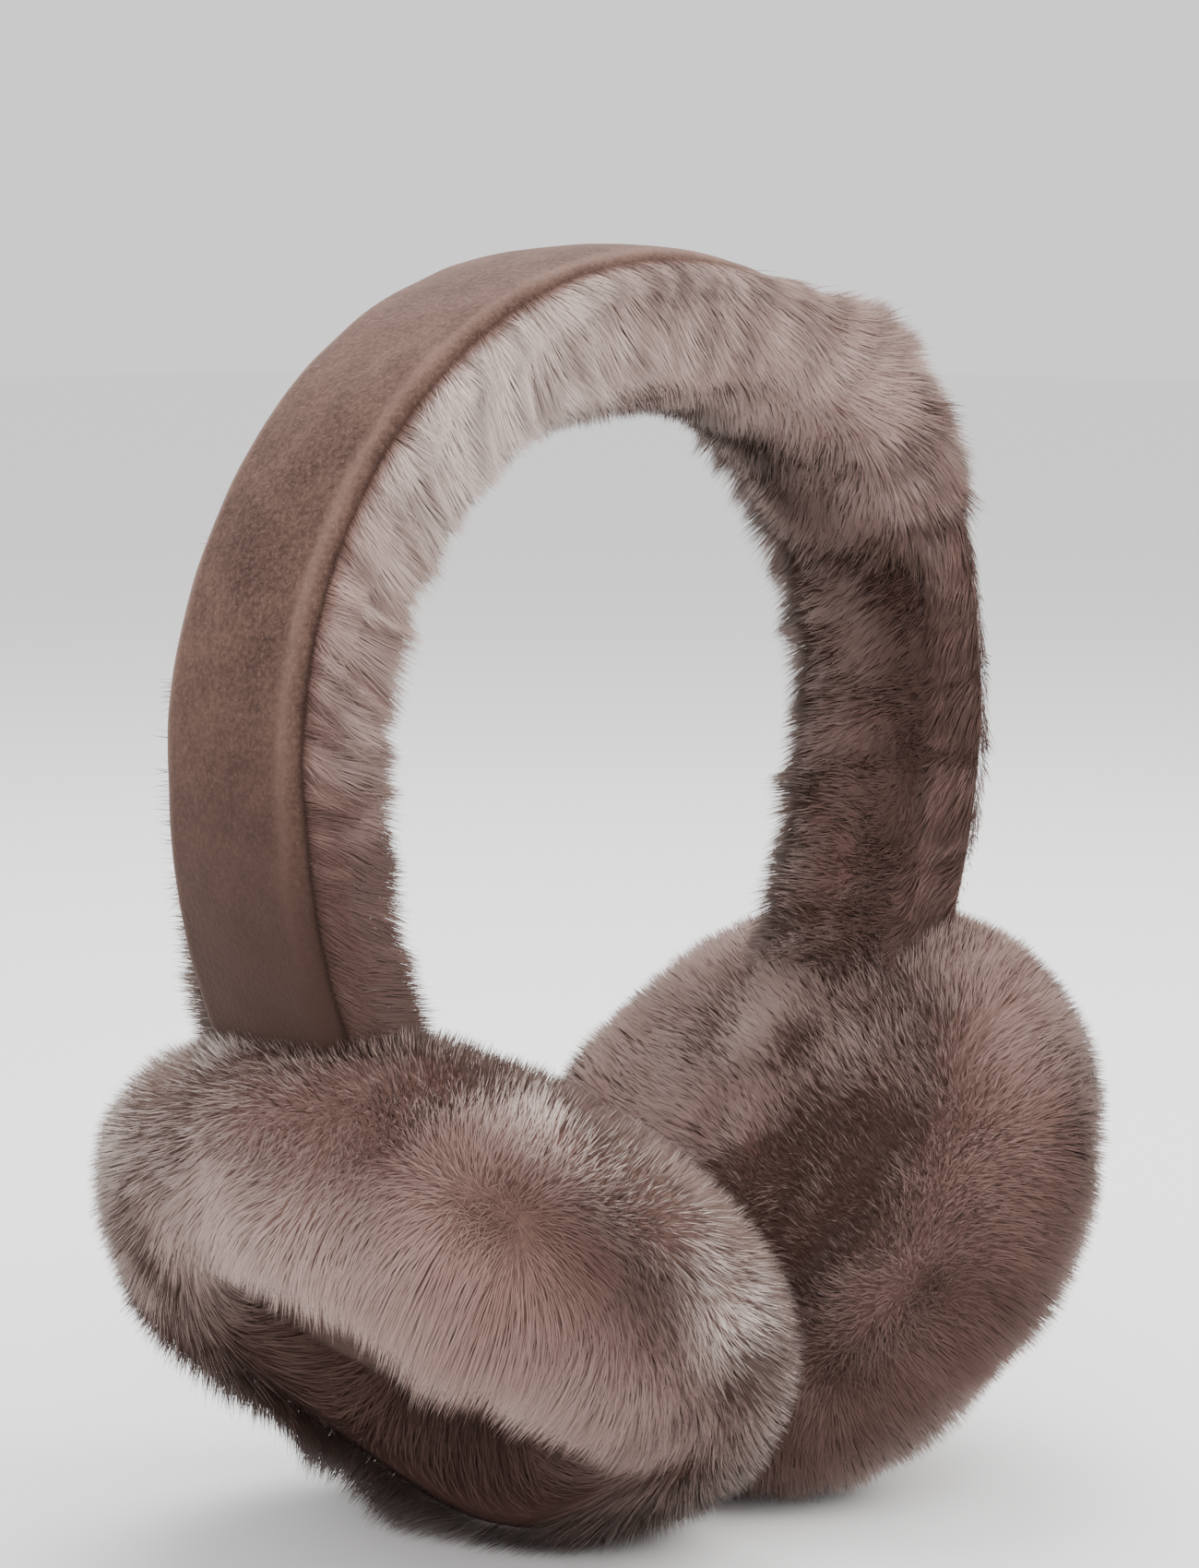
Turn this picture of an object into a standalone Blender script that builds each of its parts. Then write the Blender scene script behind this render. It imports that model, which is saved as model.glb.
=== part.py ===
# Fur earmuffs: a suede-covered headband lined with deep fur, and two fur cups with suede discs.
# Metres, +Z up. X runs from cup to cup, -Y is the front, and the origin lies on the surface
# that the cups stand on, under the middle of the whole.

import math
import random

import bmesh
import bpy
from mathutils import Matrix, Vector

# Headband arch, measured on the outside of its suede
ARCH_HALF_WIDTH = 0.093
ARCH_RISE = 0.090
LIMB_CURVE_RADIUS = 0.120
LIMB_DROP = 0.054
ARCH_SHIFT_X = -0.0031
ARCH_SHIFT_Y = 0.0015

# Suede cover of the headband, a channel that is open towards the head
COVER_WIDTH = 0.034
COVER_SIDE_DEPTH = 0.010
COVER_EDGE_RADIUS = 0.0045
COVER_WALL = 0.0016
COVER_LIP_GAP = 0.0007
COVER_EDGE_STEPS = 2
COVER_STATIONS = 40

# Fur lining of the headband
BAND_FUR_WIDTH = 0.043
BAND_FUR_DEPTH = 0.029
BAND_LOCK_LIFT = 0.0036
BAND_LOCK_REACH = 0.0045
BAND_LOCK_COUNT = 20
BAND_FLUFF_HEIGHT = 0.009
BAND_FLUFF_WIDTH = 0.007
BAND_FLUFF_LEAN = 0.003
BAND_SECTION_FULLNESS = 0.75
BAND_FADE_LENGTH = 0.012
BAND_SEAT_LENGTH = 0.034
SEAT_STATIONS = 8

# Cups, sizes over the tips of the fur
CUP_DIAMETER = 0.132
CUP_THICKNESS = 0.044
CUP_EAR_DISH = 0.003
CUP_LOCK_LIFT = 0.0052
CUP_LOCK_REACH = 0.006
CUP_LOCK_DROOP = 0.009
CUP_LOCK_COUNT = 18
CUP_SEAT_DEPTH = 0.0096
CUP_PARTED_LIFT = 0.25
CUP_DROOP_START = 0.3
CUP_DROOP_END = 0.7
CUP_LAST_SHARE = 0.985
PROFILE_STEP = 0.004
SOLE_FADE = 3

# Suede disc on the outer face of each cup
DISC_RADIUS = 0.038
DISC_WALL = 0.002
DISC_DOME = 0.004
DISC_RECESS = 0.011
DISC_RINGS = 4
DISC_STEPS = 32

# Gap between pieces that touch, and how far the cutters run past what they cut
CLEARANCE = 0.0003
CUTTER_REACH = 0.2

# The two cups. side: -1 left, 1 right. tilt: how far the outer face looks down. toe: how far it
# turns to the front. press: how much of the thickness the cup sinks into the floor, or stays
# above it where it is below 0. inset: where the top rim's middle lies inside the band's outer
# line, a share of the band's fur depth. sole: how much thicker the fur is under the cup, a share
# of the thickness. forward: how far the cup stands to the front, a share of the diameter.
CUPS = (
    {"name": "left", "side": -1, "tilt": 48.5, "toe": 12.0, "press": -0.030,
     "inset": 0.165, "sole": 0.210, "forward": 0.004, "seed": 11},
    {"name": "right", "side": 1, "tilt": 41.0, "toe": 3.0, "press": 0.073,
     "inset": -0.083, "sole": 0.105, "forward": 0.000, "seed": 23},
)

# Fur depth along the band, from the left end to the right end. depth: share of the band's fur
# depth. front and back: share of the fluff height by which the locks on the front edge and on
# the back edge stand over the suede.
BAND_FORM = (
    {"along": 0.00, "depth": 0.93, "front": 0.00, "back": 0.35},
    {"along": 0.10, "depth": 0.98, "front": 0.00, "back": 0.30},
    {"along": 0.16, "depth": 1.00, "front": 0.00, "back": 0.00},
    {"along": 0.24, "depth": 0.97, "front": 0.00, "back": 0.00},
    {"along": 0.50, "depth": 1.05, "front": 0.00, "back": 0.00},
    {"along": 0.58, "depth": 0.95, "front": 0.05, "back": 0.00},
    {"along": 0.64, "depth": 0.87, "front": 0.55, "back": 0.00},
    {"along": 0.70, "depth": 0.80, "front": 0.95, "back": 0.00},
    {"along": 0.77, "depth": 0.71, "front": 0.35, "back": 0.00},
    {"along": 0.84, "depth": 0.66, "front": 0.20, "back": 0.00},
    {"along": 0.93, "depth": 0.76, "front": 0.05, "back": 0.00},
    {"along": 1.00, "depth": 0.72, "front": 0.00, "back": 0.00},
)

# Rows of locks across one half of the band's fur, from the suede's lip (0) to the middle of the
# inner face (1), and over a cup, from the middle of its ear side (0) to the disc's seam (1).
# lift and reach are shares of the lock lift and the lock reach.
BAND_LOCK_ROWS = (
    {"start": 0.00, "end": 0.46, "lift": 1.0, "reach": 0.9},
    {"start": 0.46, "end": 0.90, "lift": 1.0, "reach": 1.0},
)
CUP_LOCK_ROWS = (
    {"start": 0.07, "end": 0.22, "lift": 0.3, "reach": 0.5},
    {"start": 0.22, "end": 0.37, "lift": 0.6, "reach": 0.8},
    {"start": 0.37, "end": 0.52, "lift": 0.9, "reach": 1.0},
    {"start": 0.52, "end": 0.67, "lift": 1.0, "reach": 1.0},
    {"start": 0.67, "end": 0.82, "lift": 1.0, "reach": 1.0},
    {"start": 0.82, "end": 0.96, "lift": 0.9, "reach": 0.6},
)

# One lock: its rings from root to tip, and its columns from one valley to the next
LOCK_RINGS = (
    {"at": 0.12, "height": 0.20, "forward": 0.0, "stand": 0.0},
    {"at": 0.55, "height": 0.55, "forward": 0.0, "stand": 0.5},
    {"at": 1.00, "height": 1.00, "forward": 1.0, "stand": 1.0},
)
LOCK_CREST = (0.0, 0.55, 1.0, 0.55)

SUEDE = {"name": "suede", "colour": (0.24, 0.14, 0.115, 1.0), "roughness": 0.95}
FUR = {"name": "fur", "colour": (0.33, 0.22, 0.19, 1.0), "roughness": 1.0}


def clear_scene():
    for item in list(bpy.data.objects):
        bpy.data.objects.remove(item, do_unlink=True)


def collection(name):
    made = bpy.data.collections.new(name)
    bpy.context.scene.collection.children.link(made)
    return made


def principled(name, finish):
    material = bpy.data.materials.new(name + "_" + finish["name"])
    material.use_nodes = True
    shader = material.node_tree.nodes["Principled BSDF"]
    shader.inputs["Base Color"].default_value = finish["colour"]
    shader.inputs["Roughness"].default_value = finish["roughness"]
    shader.inputs["Metallic"].default_value = 0.0
    material.diffuse_color = finish["colour"]
    return material


def add_object(name, mesh, group, finish=None):
    item = bpy.data.objects.new(name, mesh)
    group.objects.link(item)
    if finish:
        mesh.materials.append(principled(name, finish))
        mesh.shade_smooth()
        mesh.set_sharp_from_angle(angle=math.radians(50))
    return item


def hide_cutter(item):
    item.display_type = "WIRE"
    item.hide_render = True


def skin(name, rings, poles=None):
    # A closed surface through rings of equal length. Its ends close in a pole each, or flat.
    bm = bmesh.new()
    loops = [[bm.verts.new(point) for point in ring] for ring in rings]
    count = len(loops[0])
    for low, high in zip(loops, loops[1:]):
        for i in range(count):
            j = (i + 1) % count
            bm.faces.new((low[i], low[j], high[j], high[i]))
    if poles:
        for pole, ring in zip(poles, (loops[0], loops[-1])):
            tip = bm.verts.new(pole)
            for i in range(count):
                bm.faces.new((ring[i], ring[(i + 1) % count], tip))
    else:
        bm.faces.new(loops[0])
        bm.faces.new(loops[-1])
    bmesh.ops.recalc_face_normals(bm, faces=bm.faces[:])
    mesh = bpy.data.meshes.new(name)
    bm.to_mesh(mesh)
    bm.free()
    return mesh


def read_table(rows, key, value, at):
    # Smooth reading between the rows of a table
    for low, high in zip(rows, rows[1:]):
        if at <= high[key]:
            share = max(0.0, (at - low[key]) / (high[key] - low[key]))
            share = share * share * (3 - 2 * share)
            return low[value] + share * (high[value] - low[value])
    return rows[-1][value]


# Sizes of the cups that follow from the driving ones


def rim_radius():
    return (CUP_DIAMETER - CUP_THICKNESS) / 2


def backing_radius():
    return CUP_THICKNESS / 2 - CUP_LOCK_LIFT


def top_rim_height(cup):
    # Height of the middle of a cup's top rim, for a cup that stands on its lower rim
    rise = 2 * rim_radius() * math.cos(math.radians(cup["tilt"]))
    return rise + CUP_THICKNESS * (0.5 - cup["press"])


def band_end_height():
    heights = [top_rim_height(cup) for cup in CUPS]
    return sum(heights) / len(heights) + CUP_SEAT_DEPTH


def arch_widest_height():
    return band_end_height() + LIMB_DROP


# The headband's path


def limb_length():
    return LIMB_CURVE_RADIUS * math.asin(LIMB_DROP / LIMB_CURVE_RADIUS)


def crown_length():
    return math.pi * (ARCH_HALF_WIDTH + ARCH_RISE) / 2


def band_length():
    return 2 * limb_length() + crown_length()


def band_frame(along):
    # The point on the band's outer line at a distance from its left end, and the direction
    # out of the arch there. The limbs below the widest level are cut level, so out is level.
    beyond = limb_length() + crown_length()
    if limb_length() <= along <= beyond:
        turn = math.pi * (along - limb_length()) / crown_length()
        x = -ARCH_HALF_WIDTH * math.cos(turn)
        z = ARCH_RISE * math.sin(turn)
        out = Vector((x / ARCH_HALF_WIDTH**2, 0.0, z / ARCH_RISE**2)).normalized()
    else:
        side = -1 if along < limb_length() else 1
        below = limb_length() - along if side < 0 else along - beyond
        angle = below / LIMB_CURVE_RADIUS
        x = side * (ARCH_HALF_WIDTH - LIMB_CURVE_RADIUS * (1 - math.cos(angle)))
        z = -LIMB_CURVE_RADIUS * math.sin(angle)
        out = Vector((side, 0.0, 0.0))
    place = Vector((x + ARCH_SHIFT_X, ARCH_SHIFT_Y, z + arch_widest_height()))
    return place, out


def on_band(along, across, depth):
    place, out = band_frame(along)
    return place - out * depth + Vector((0.0, across, 0.0))


# Suede cover of the headband


def cover_outline():
    # Half of the channel's outer outline, from its lip up over the rounded edge
    half = COVER_WIDTH / 2
    outline = [(half, COVER_SIDE_DEPTH)]
    for step in range(COVER_EDGE_STEPS + 1):
        turn = math.pi / 2 * step / COVER_EDGE_STEPS
        across = half - COVER_EDGE_RADIUS * (1 - math.cos(turn))
        depth = COVER_EDGE_RADIUS * (1 - math.sin(turn))
        outline.append((across, depth))
    return outline


def build_headband_cover(group):
    half = cover_outline()
    outline = half + [(-across, depth) for across, depth in reversed(half)]
    bm = bmesh.new()
    lines = []
    for station in range(COVER_STATIONS + 1):
        along = band_length() * station / COVER_STATIONS
        lines.append([bm.verts.new(on_band(along, *point)) for point in outline])
    for low, high in zip(lines, lines[1:]):
        for i in range(len(outline) - 1):
            bm.faces.new((low[i], low[i + 1], high[i + 1], high[i]))
    mesh = bpy.data.meshes.new("headband_cover")
    bm.to_mesh(mesh)
    bm.free()
    item = add_object("headband_cover", mesh, group, SUEDE)
    wall = item.modifiers.new("wall", "SOLIDIFY")
    wall.thickness = COVER_WALL
    wall.offset = -1.0
    wall.use_even_offset = True
    wall.use_rim = True
    return item


# Fur locks, shared by the band and the cups


class LockPattern:
    # Staggered locks with a slightly different length, height and slant each
    def __init__(self, seed):
        self.random = random.Random(seed)
        self.made = {}

    def lock(self, row, number):
        if (row, number) not in self.made:
            self.made[row, number] = {
                "height": self.random.uniform(0.75, 1.0),
                "reach": self.random.uniform(0.55, 1.25),
                "slant": self.random.uniform(-0.2, 0.2),
            }
        return self.made[row, number]

    def at(self, row, column, count):
        # The lock that a column belongs to, and how near the column is to its crest
        shifted = column + (row % 2) * len(LOCK_CREST) // 2
        number = (shifted // len(LOCK_CREST)) % count
        return self.lock(row, number), LOCK_CREST[shifted % len(LOCK_CREST)]


# Fur lining of the headband


def lip_depth():
    return COVER_SIDE_DEPTH + COVER_LIP_GAP


def channel_outline():
    # The lining inside the suede channel: from the lip on one side to the lip on the other
    half = COVER_WIDTH / 2 - COVER_WALL - CLEARANCE
    top = COVER_WALL + CLEARANCE
    bend = COVER_EDGE_RADIUS - COVER_WALL
    right = [(half, lip_depth()), (half, top + bend), (half - bend, top)]
    return right + [(-across, depth) for across, depth in reversed(right)]


def lining_point(share, along, lift, widened=0.0):
    # The backing of the fur from the lip (0) to the middle of the inner face (1), raised by lift
    span = along / band_length()
    depth = BAND_FUR_DEPTH * read_table(BAND_FORM, "along", "depth", span)
    turn = math.pi / 2 * share
    across_size = BAND_FUR_WIDTH / 2 - BAND_LOCK_LIFT + widened
    depth_size = depth - BAND_LOCK_LIFT - lip_depth()
    cosine = max(0.0, math.cos(turn))
    across = across_size * cosine**BAND_SECTION_FULLNESS
    inward = lip_depth() + depth_size * math.sin(turn) ** BAND_SECTION_FULLNESS
    slope = Vector((cosine / across_size, math.sin(turn) / depth_size))
    slope = slope.normalized()
    return across + slope.x * lift, inward + slope.y * lift


def end_fade(along):
    # Locks fade out where the band's ends are seated in the cups
    nearest = min(along, band_length() - along)
    return min(1.0, max(0.0, nearest / BAND_FADE_LENGTH - 1.0))


def band_half(pattern, station, stations, edge):
    # The lock rings of one half section, from the lip on that edge to the middle of the inner face
    along = band_length() * station / stations
    fade = end_fade(along)
    lock_width = band_length() / BAND_LOCK_COUNT
    fluff = fade * read_table(BAND_FORM, "along", edge, along / band_length())
    side = -1 if edge == "front" else 1
    points = []
    for number, row in enumerate(BAND_LOCK_ROWS):
        lock, crest = pattern.at(number, station, BAND_LOCK_COUNT + 1)
        for ring in LOCK_RINGS:
            share = row["start"] + (row["end"] - row["start"]) * ring["at"]
            raised = BAND_LOCK_LIFT * row["lift"] * lock["height"] * ring["height"]
            reach = BAND_LOCK_REACH * row["reach"] * lock["reach"] * ring["forward"]
            quarter = math.pi / 4 * (BAND_FUR_WIDTH / 2 + BAND_FUR_DEPTH - COVER_SIDE_DEPTH)
            onward = min(1.0, share + fade * crest**2 * reach / quarter)
            shifted = along + fade * crest * ring["forward"] * lock["slant"] * lock_width
            widened = BAND_FLUFF_WIDTH * fluff * (ring["stand"] if number == 0 else 1.0)
            across, inward = lining_point(onward, shifted, fade * crest * raised, widened)
            if number == 0 and fluff > 0:
                # These locks stand up past the suede's edge
                upright = COVER_WIDTH / 2 + 2 * CLEARANCE + BAND_FLUFF_LEAN * ring["stand"]
                across = max(upright, across + (upright - across) * fluff)
                rise = (COVER_SIDE_DEPTH + BAND_FLUFF_HEIGHT * lock["height"]) * fluff
                inward -= rise * crest * ring["stand"]
            points.append(on_band(shifted, side * across, inward))
    return points


def build_headband_fur(group):
    stations = BAND_LOCK_COUNT * len(LOCK_CREST)
    front_locks = LockPattern(5)
    back_locks = LockPattern(7)
    sections = []
    for station in range(stations + 1):
        along = band_length() * station / stations
        channel = [on_band(along, *point) for point in channel_outline()]
        back = band_half(back_locks, station, stations, "back")
        front = band_half(front_locks, station, stations, "front")
        middle = on_band(along, 0.0, lining_point(1.0, along, 0.0)[1])
        sections.append(list(reversed(channel)) + back + [middle] + list(reversed(front)))
    return add_object("headband_fur", skin("headband_fur", sections), group, FUR)


# Cups


def cup_profile_lengths():
    face = rim_radius()
    roll = math.pi * backing_radius()
    seam_drop = backing_radius() - (CUP_THICKNESS / 2 - DISC_RECESS)
    inner = math.pi / 4 * (rim_radius() - DISC_RADIUS + seam_drop)
    return face, roll, inner


def seam_height():
    return CUP_THICKNESS / 2 - DISC_RECESS


def cup_profile(share):
    # The backing's outline in radius and height, from the middle of the ear side (0) round the
    # rim to the seam of the disc (1). The third value is how far round the rim it is, 0 to 1.
    face, roll, inner = cup_profile_lengths()
    run = max(0.0, share) * (face + roll + inner)
    tube = backing_radius()
    if run <= face:
        radius = run
        height = -tube + CUP_EAR_DISH * (1 - (radius / rim_radius()) ** 2)
        return radius, height, 0.0
    if run <= face + roll:
        turn = (run - face) / tube
        return rim_radius() + tube * math.sin(turn), -tube * math.cos(turn), turn / math.pi
    turn = min(1.0, (run - face - roll) / inner) * math.pi / 2
    seam = DISC_RADIUS + CLEARANCE
    radius = rim_radius() - (rim_radius() - seam) * math.sin(turn)
    height = tube - (tube - seam_height()) * (1 - math.cos(turn))
    return radius, height, 1.0


def on_cup(cup, share, angle, lift):
    # A point of a cup's fur: the backing raised by lift, with the thicker sole under the cup
    radius, height, round_rim = cup_profile(share)
    before = cup_profile(share - PROFILE_STEP)
    after = cup_profile(share + PROFILE_STEP)
    way = Vector((after[0] - before[0], after[1] - before[1])).normalized()
    radius += way.y * lift
    height -= way.x * lift
    under = max(0.0, math.cos(angle)) ** SOLE_FADE * math.sin(math.pi / 2 * round_rim) ** 2
    above_seam = min(1.0, max(0.0, (radius - DISC_RADIUS) / (rim_radius() - DISC_RADIUS)))
    height += CUP_THICKNESS * cup["sole"] * under * above_seam
    return Vector((radius * math.cos(angle), radius * math.sin(angle), height))


def parting(angle):
    # The fur lies flat on the top rim where the band comes in, and is full away from it
    away = abs(angle - math.pi) * rim_radius() - BAND_FUR_WIDTH / 4
    return min(1.0, max(CUP_PARTED_LIFT, away / (BAND_FUR_WIDTH / 2)))


def cup_lock_ring(cup, pattern, number, row, ring):
    columns = CUP_LOCK_COUNT * len(LOCK_CREST)
    lock_angle = math.tau / CUP_LOCK_COUNT
    tilt = math.radians(cup["tilt"])
    downwards = Vector((math.cos(tilt), 0.0, math.sin(tilt)))
    points = []
    for column in range(columns):
        lock, crest = pattern.at(number, column, CUP_LOCK_COUNT)
        crest *= parting(math.tau * column / columns)
        share = row["start"] + (row["end"] - row["start"]) * ring["at"]
        reach = CUP_LOCK_REACH * row["reach"] * lock["reach"] * ring["forward"]
        onward = share + crest**2 * reach / sum(cup_profile_lengths())
        share = min(CUP_LAST_SHARE, onward)
        lift = CUP_LOCK_LIFT * row["lift"] * lock["height"] * ring["height"] * crest
        angle = math.tau * column / columns
        angle += crest * ring["forward"] * lock["slant"] * lock_angle
        round_rim = cup_profile(share)[2] - CUP_DROOP_START
        hanging = min(1.0, max(0.0, round_rim / (CUP_DROOP_END - CUP_DROOP_START)))
        hanging *= ((1 - math.cos(angle)) / 2) ** 2
        droop = CUP_LOCK_DROOP * hanging * lock["reach"] * ring["stand"] * crest**2
        points.append(on_cup(cup, share, angle, lift) + downwards * droop)
    return points


def turned_ring(radius, height):
    columns = CUP_LOCK_COUNT * len(LOCK_CREST)
    turns = [math.tau * column / columns for column in range(columns)]
    return [Vector((radius * math.cos(turn), radius * math.sin(turn), height)) for turn in turns]


def build_cup_fur(cup, frame, group):
    pattern = LockPattern(cup["seed"])
    rings = []
    for number, row in enumerate(CUP_LOCK_ROWS):
        for ring in LOCK_RINGS:
            rings.append(cup_lock_ring(cup, pattern, number, row, ring))
    seam = DISC_RADIUS + CLEARANCE
    floor = seam_height() - DISC_WALL - CLEARANCE
    rings.append(turned_ring(seam, seam_height()))
    rings.append(turned_ring(seam, floor))
    half_way = 0.5
    rings.append(turned_ring(seam * half_way, floor + DISC_DOME * (1 - half_way**2)))
    poles = (
        Vector((0.0, 0.0, cup_profile(0.0)[1])),
        Vector((0.0, 0.0, floor + DISC_DOME)),
    )
    name = cup["name"] + "_cup_fur"
    item = add_object(name, skin(name, rings, poles), group, FUR)
    item.parent = frame
    return item


def build_cup_disc(cup, frame, group):
    # A domed disc: its curved outline is turned about the cup's axis and given its wall
    name = cup["name"] + "_cup_disc"
    mesh = bpy.data.meshes.new(name)
    bm = bmesh.new()
    dots = []
    for step in range(DISC_RINGS + 1):
        share = step / DISC_RINGS
        height = seam_height() + DISC_DOME * (1 - share**2)
        dots.append(bm.verts.new((DISC_RADIUS * share, 0.0, height)))
    for first, second in zip(dots, dots[1:]):
        bm.edges.new((first, second))
    bm.to_mesh(mesh)
    bm.free()
    item = add_object(name, mesh, group, SUEDE)
    turn = item.modifiers.new("turn", "SCREW")
    turn.axis = "Z"
    turn.steps = DISC_STEPS
    turn.render_steps = DISC_STEPS
    turn.use_merge_vertices = True
    turn.merge_threshold = 0.00005
    turn.use_smooth_shade = True
    wall = item.modifiers.new("wall", "SOLIDIFY")
    wall.thickness = DISC_WALL
    wall.offset = -1.0
    item.parent = frame
    return item


def build_cup_frame(cup, group):
    # The cup's own frame: local Z is its outer normal, local X runs down its face
    frame = bpy.data.objects.new(cup["name"] + "_cup_frame", None)
    frame.empty_display_size = CUP_THICKNESS
    group.objects.link(frame)
    tilt = math.radians(cup["tilt"])
    toe = math.radians(cup["toe"])
    heading = -toe if cup["side"] > 0 else math.pi + toe
    frame.rotation_euler = (0.0, math.pi / 2 + tilt, heading)
    along = 0.0 if cup["side"] < 0 else band_length()
    end, out = band_frame(along)
    down = frame.rotation_euler.to_matrix() @ Vector((1.0, 0.0, 0.0))
    top_rim = end - out * BAND_FUR_DEPTH * cup["inset"]
    top_rim.z = top_rim_height(cup)
    centre = top_rim + down * rim_radius()
    centre.y = -CUP_DIAMETER * cup["forward"]
    frame.location = centre
    frame.matrix_basis = Matrix.LocRotScale(centre, frame.rotation_euler, None)
    return frame


# Cutters: the floor under the cups, the plane where they press together, the band's seats


def block_cutter(name, group, direction, face):
    # A large cube whose one face passes through a point, square to a direction
    bpy.ops.mesh.primitive_cube_add(size=1.0)
    item = bpy.context.active_object
    item.name = name
    for user in list(item.users_collection):
        user.objects.unlink(item)
    group.objects.link(item)
    item.scale = (CUTTER_REACH, CUTTER_REACH, CUTTER_REACH)
    item.rotation_euler = direction.to_track_quat("Z", "Y").to_euler()
    item.location = face + direction * CUTTER_REACH / 2
    hide_cutter(item)
    return item


def seat_cutter(cup, group):
    # The room that the band's end takes in a cup, wider than the band by the clearance
    half = COVER_WIDTH / 2 + CLEARANCE
    wide = BAND_FUR_WIDTH / 2 + CLEARANCE
    lip = COVER_SIDE_DEPTH - CLEARANCE
    sections = []
    for station in range(SEAT_STATIONS + 1):
        below = BAND_SEAT_LENGTH * station / SEAT_STATIONS - CLEARANCE
        along = below if cup["side"] < 0 else band_length() - below
        span = along / band_length()
        depth = BAND_FUR_DEPTH * read_table(BAND_FORM, "along", "depth", span)
        deep = depth + CLEARANCE
        corner = min(COVER_EDGE_RADIUS, (deep - lip) / 2)
        right = [(half, -CLEARANCE), (half, lip), (wide, lip), (wide, deep - corner),
                 (wide - corner, deep)]
        outline = right + [(-across, depth) for across, depth in reversed(right)]
        sections.append([on_band(along, *point) for point in outline])
    name = cup["name"] + "_seat_cutter"
    item = add_object(name, skin(name, sections), group)
    hide_cutter(item)
    return item


def cut(item, cutter):
    step = item.modifiers.new(cutter.name, "BOOLEAN")
    step.operation = "DIFFERENCE"
    step.solver = "EXACT"
    step.object = cutter


def build_earmuffs():
    clear_scene()
    pieces = collection("fur_earmuffs")
    cutters = collection("cutters")
    build_headband_cover(pieces)
    build_headband_fur(pieces)
    floor = block_cutter("floor_cutter", cutters, Vector((0.0, 0.0, -1.0)), Vector((0, 0, 0)))
    frames = [build_cup_frame(cup, pieces) for cup in CUPS]
    lower_rims = [frame.matrix_basis @ Vector((rim_radius(), 0.0, 0.0)) for frame in frames]
    middle = (lower_rims[0] + lower_rims[1]) / 2
    apart = (lower_rims[1] - lower_rims[0]).normalized()
    for cup, frame in zip(CUPS, frames):
        fur = build_cup_fur(cup, frame, pieces)
        build_cup_disc(cup, frame, pieces)
        towards = -apart * cup["side"]
        face = middle - towards * CLEARANCE / 2
        meeting = block_cutter(cup["name"] + "_meeting_cutter", cutters, towards, face)
        cut(fur, seat_cutter(cup, cutters))
        cut(fur, meeting)
        cut(fur, floor)
    bpy.context.view_layer.update()


build_earmuffs()
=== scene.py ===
import bpy
import numpy as np
from mathutils import Euler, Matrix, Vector


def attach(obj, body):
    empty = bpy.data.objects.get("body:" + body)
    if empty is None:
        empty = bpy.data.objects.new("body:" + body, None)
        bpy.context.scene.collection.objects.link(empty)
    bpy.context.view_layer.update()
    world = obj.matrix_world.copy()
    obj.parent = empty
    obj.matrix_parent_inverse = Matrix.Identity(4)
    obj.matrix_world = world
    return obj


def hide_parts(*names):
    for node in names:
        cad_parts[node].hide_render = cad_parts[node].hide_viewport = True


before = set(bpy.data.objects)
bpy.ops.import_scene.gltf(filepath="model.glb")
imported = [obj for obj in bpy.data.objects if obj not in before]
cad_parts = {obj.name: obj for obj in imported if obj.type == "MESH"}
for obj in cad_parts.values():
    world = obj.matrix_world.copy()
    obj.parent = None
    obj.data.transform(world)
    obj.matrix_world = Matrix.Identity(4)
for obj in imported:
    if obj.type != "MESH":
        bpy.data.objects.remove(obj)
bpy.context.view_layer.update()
print("frame loaded")

# Number helpers, all on whole arrays


def shareOf(cells, salt):
    # A repeatable share from 0 to 1 for each cell of whole numbers, mixed with wrapping products
    cells = cells.astype(np.int64)
    mixed = cells[..., 0] * 73856093 ^ cells[..., 1] * 19349663 ^ cells[..., 2] * 83492791
    mixed = (mixed ^ salt * 40503) & 0xFFFFFFFF
    mixed = ((mixed ^ (mixed >> 15)) * 224682251) & 0xFFFFFFFF
    mixed = ((mixed ^ (mixed >> 13)) * 326648991) & 0xFFFFFFFF
    return ((mixed ^ (mixed >> 16)) & 0xFFFFFF) / 16777216.0


def softNoise(points, size, salt):
    # Values from -1 to 1 at the corners of a lattice of that size, blended smoothly between them
    scaled = points / size
    low = np.floor(scaled)
    part = scaled - low
    part = part * part * (3 - 2 * part)
    total = np.zeros(points.shape[:-1])
    for corner in np.ndindex(2, 2, 2):
        weight = np.prod(np.where(np.array(corner) > 0, part, 1 - part), axis=-1)
        total += weight * (shareOf(low + np.array(corner), salt) * 2 - 1)
    return total


def softVectors(points, size, salt):
    # Three soft noises side by side
    return np.stack([softNoise(points, size, salt + k) for k in range(3)], axis=-1)


def nearestTuft(points, size, salt):
    # The nearest of the points that are strewn one to a cell, and a share that is its own
    low = np.floor(points / size)
    best = np.full(len(points), np.inf)
    centre = np.zeros_like(points)
    own = np.zeros(len(points))
    for step in np.ndindex(3, 3, 3):
        cell = low + np.array(step) - 1
        spot = np.stack([shareOf(cell, salt + k) for k in range(3)], axis=-1)
        spot = (cell + spot) * size
        gap = np.sum((spot - points) ** 2, axis=-1)
        closer = gap < best
        best = np.where(closer, gap, best)
        centre = np.where(closer[:, None], spot, centre)
        own = np.where(closer, shareOf(cell, salt + 3), own)
    return centre, own


def unit(vectors):
    return vectors / np.maximum(np.linalg.norm(vectors, axis=-1, keepdims=True), 1e-9)


def mottle(points, spread, salt):
    # Soft noise by its strength and its size
    strength, size = spread
    return strength * softNoise(points, size, salt)


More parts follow.
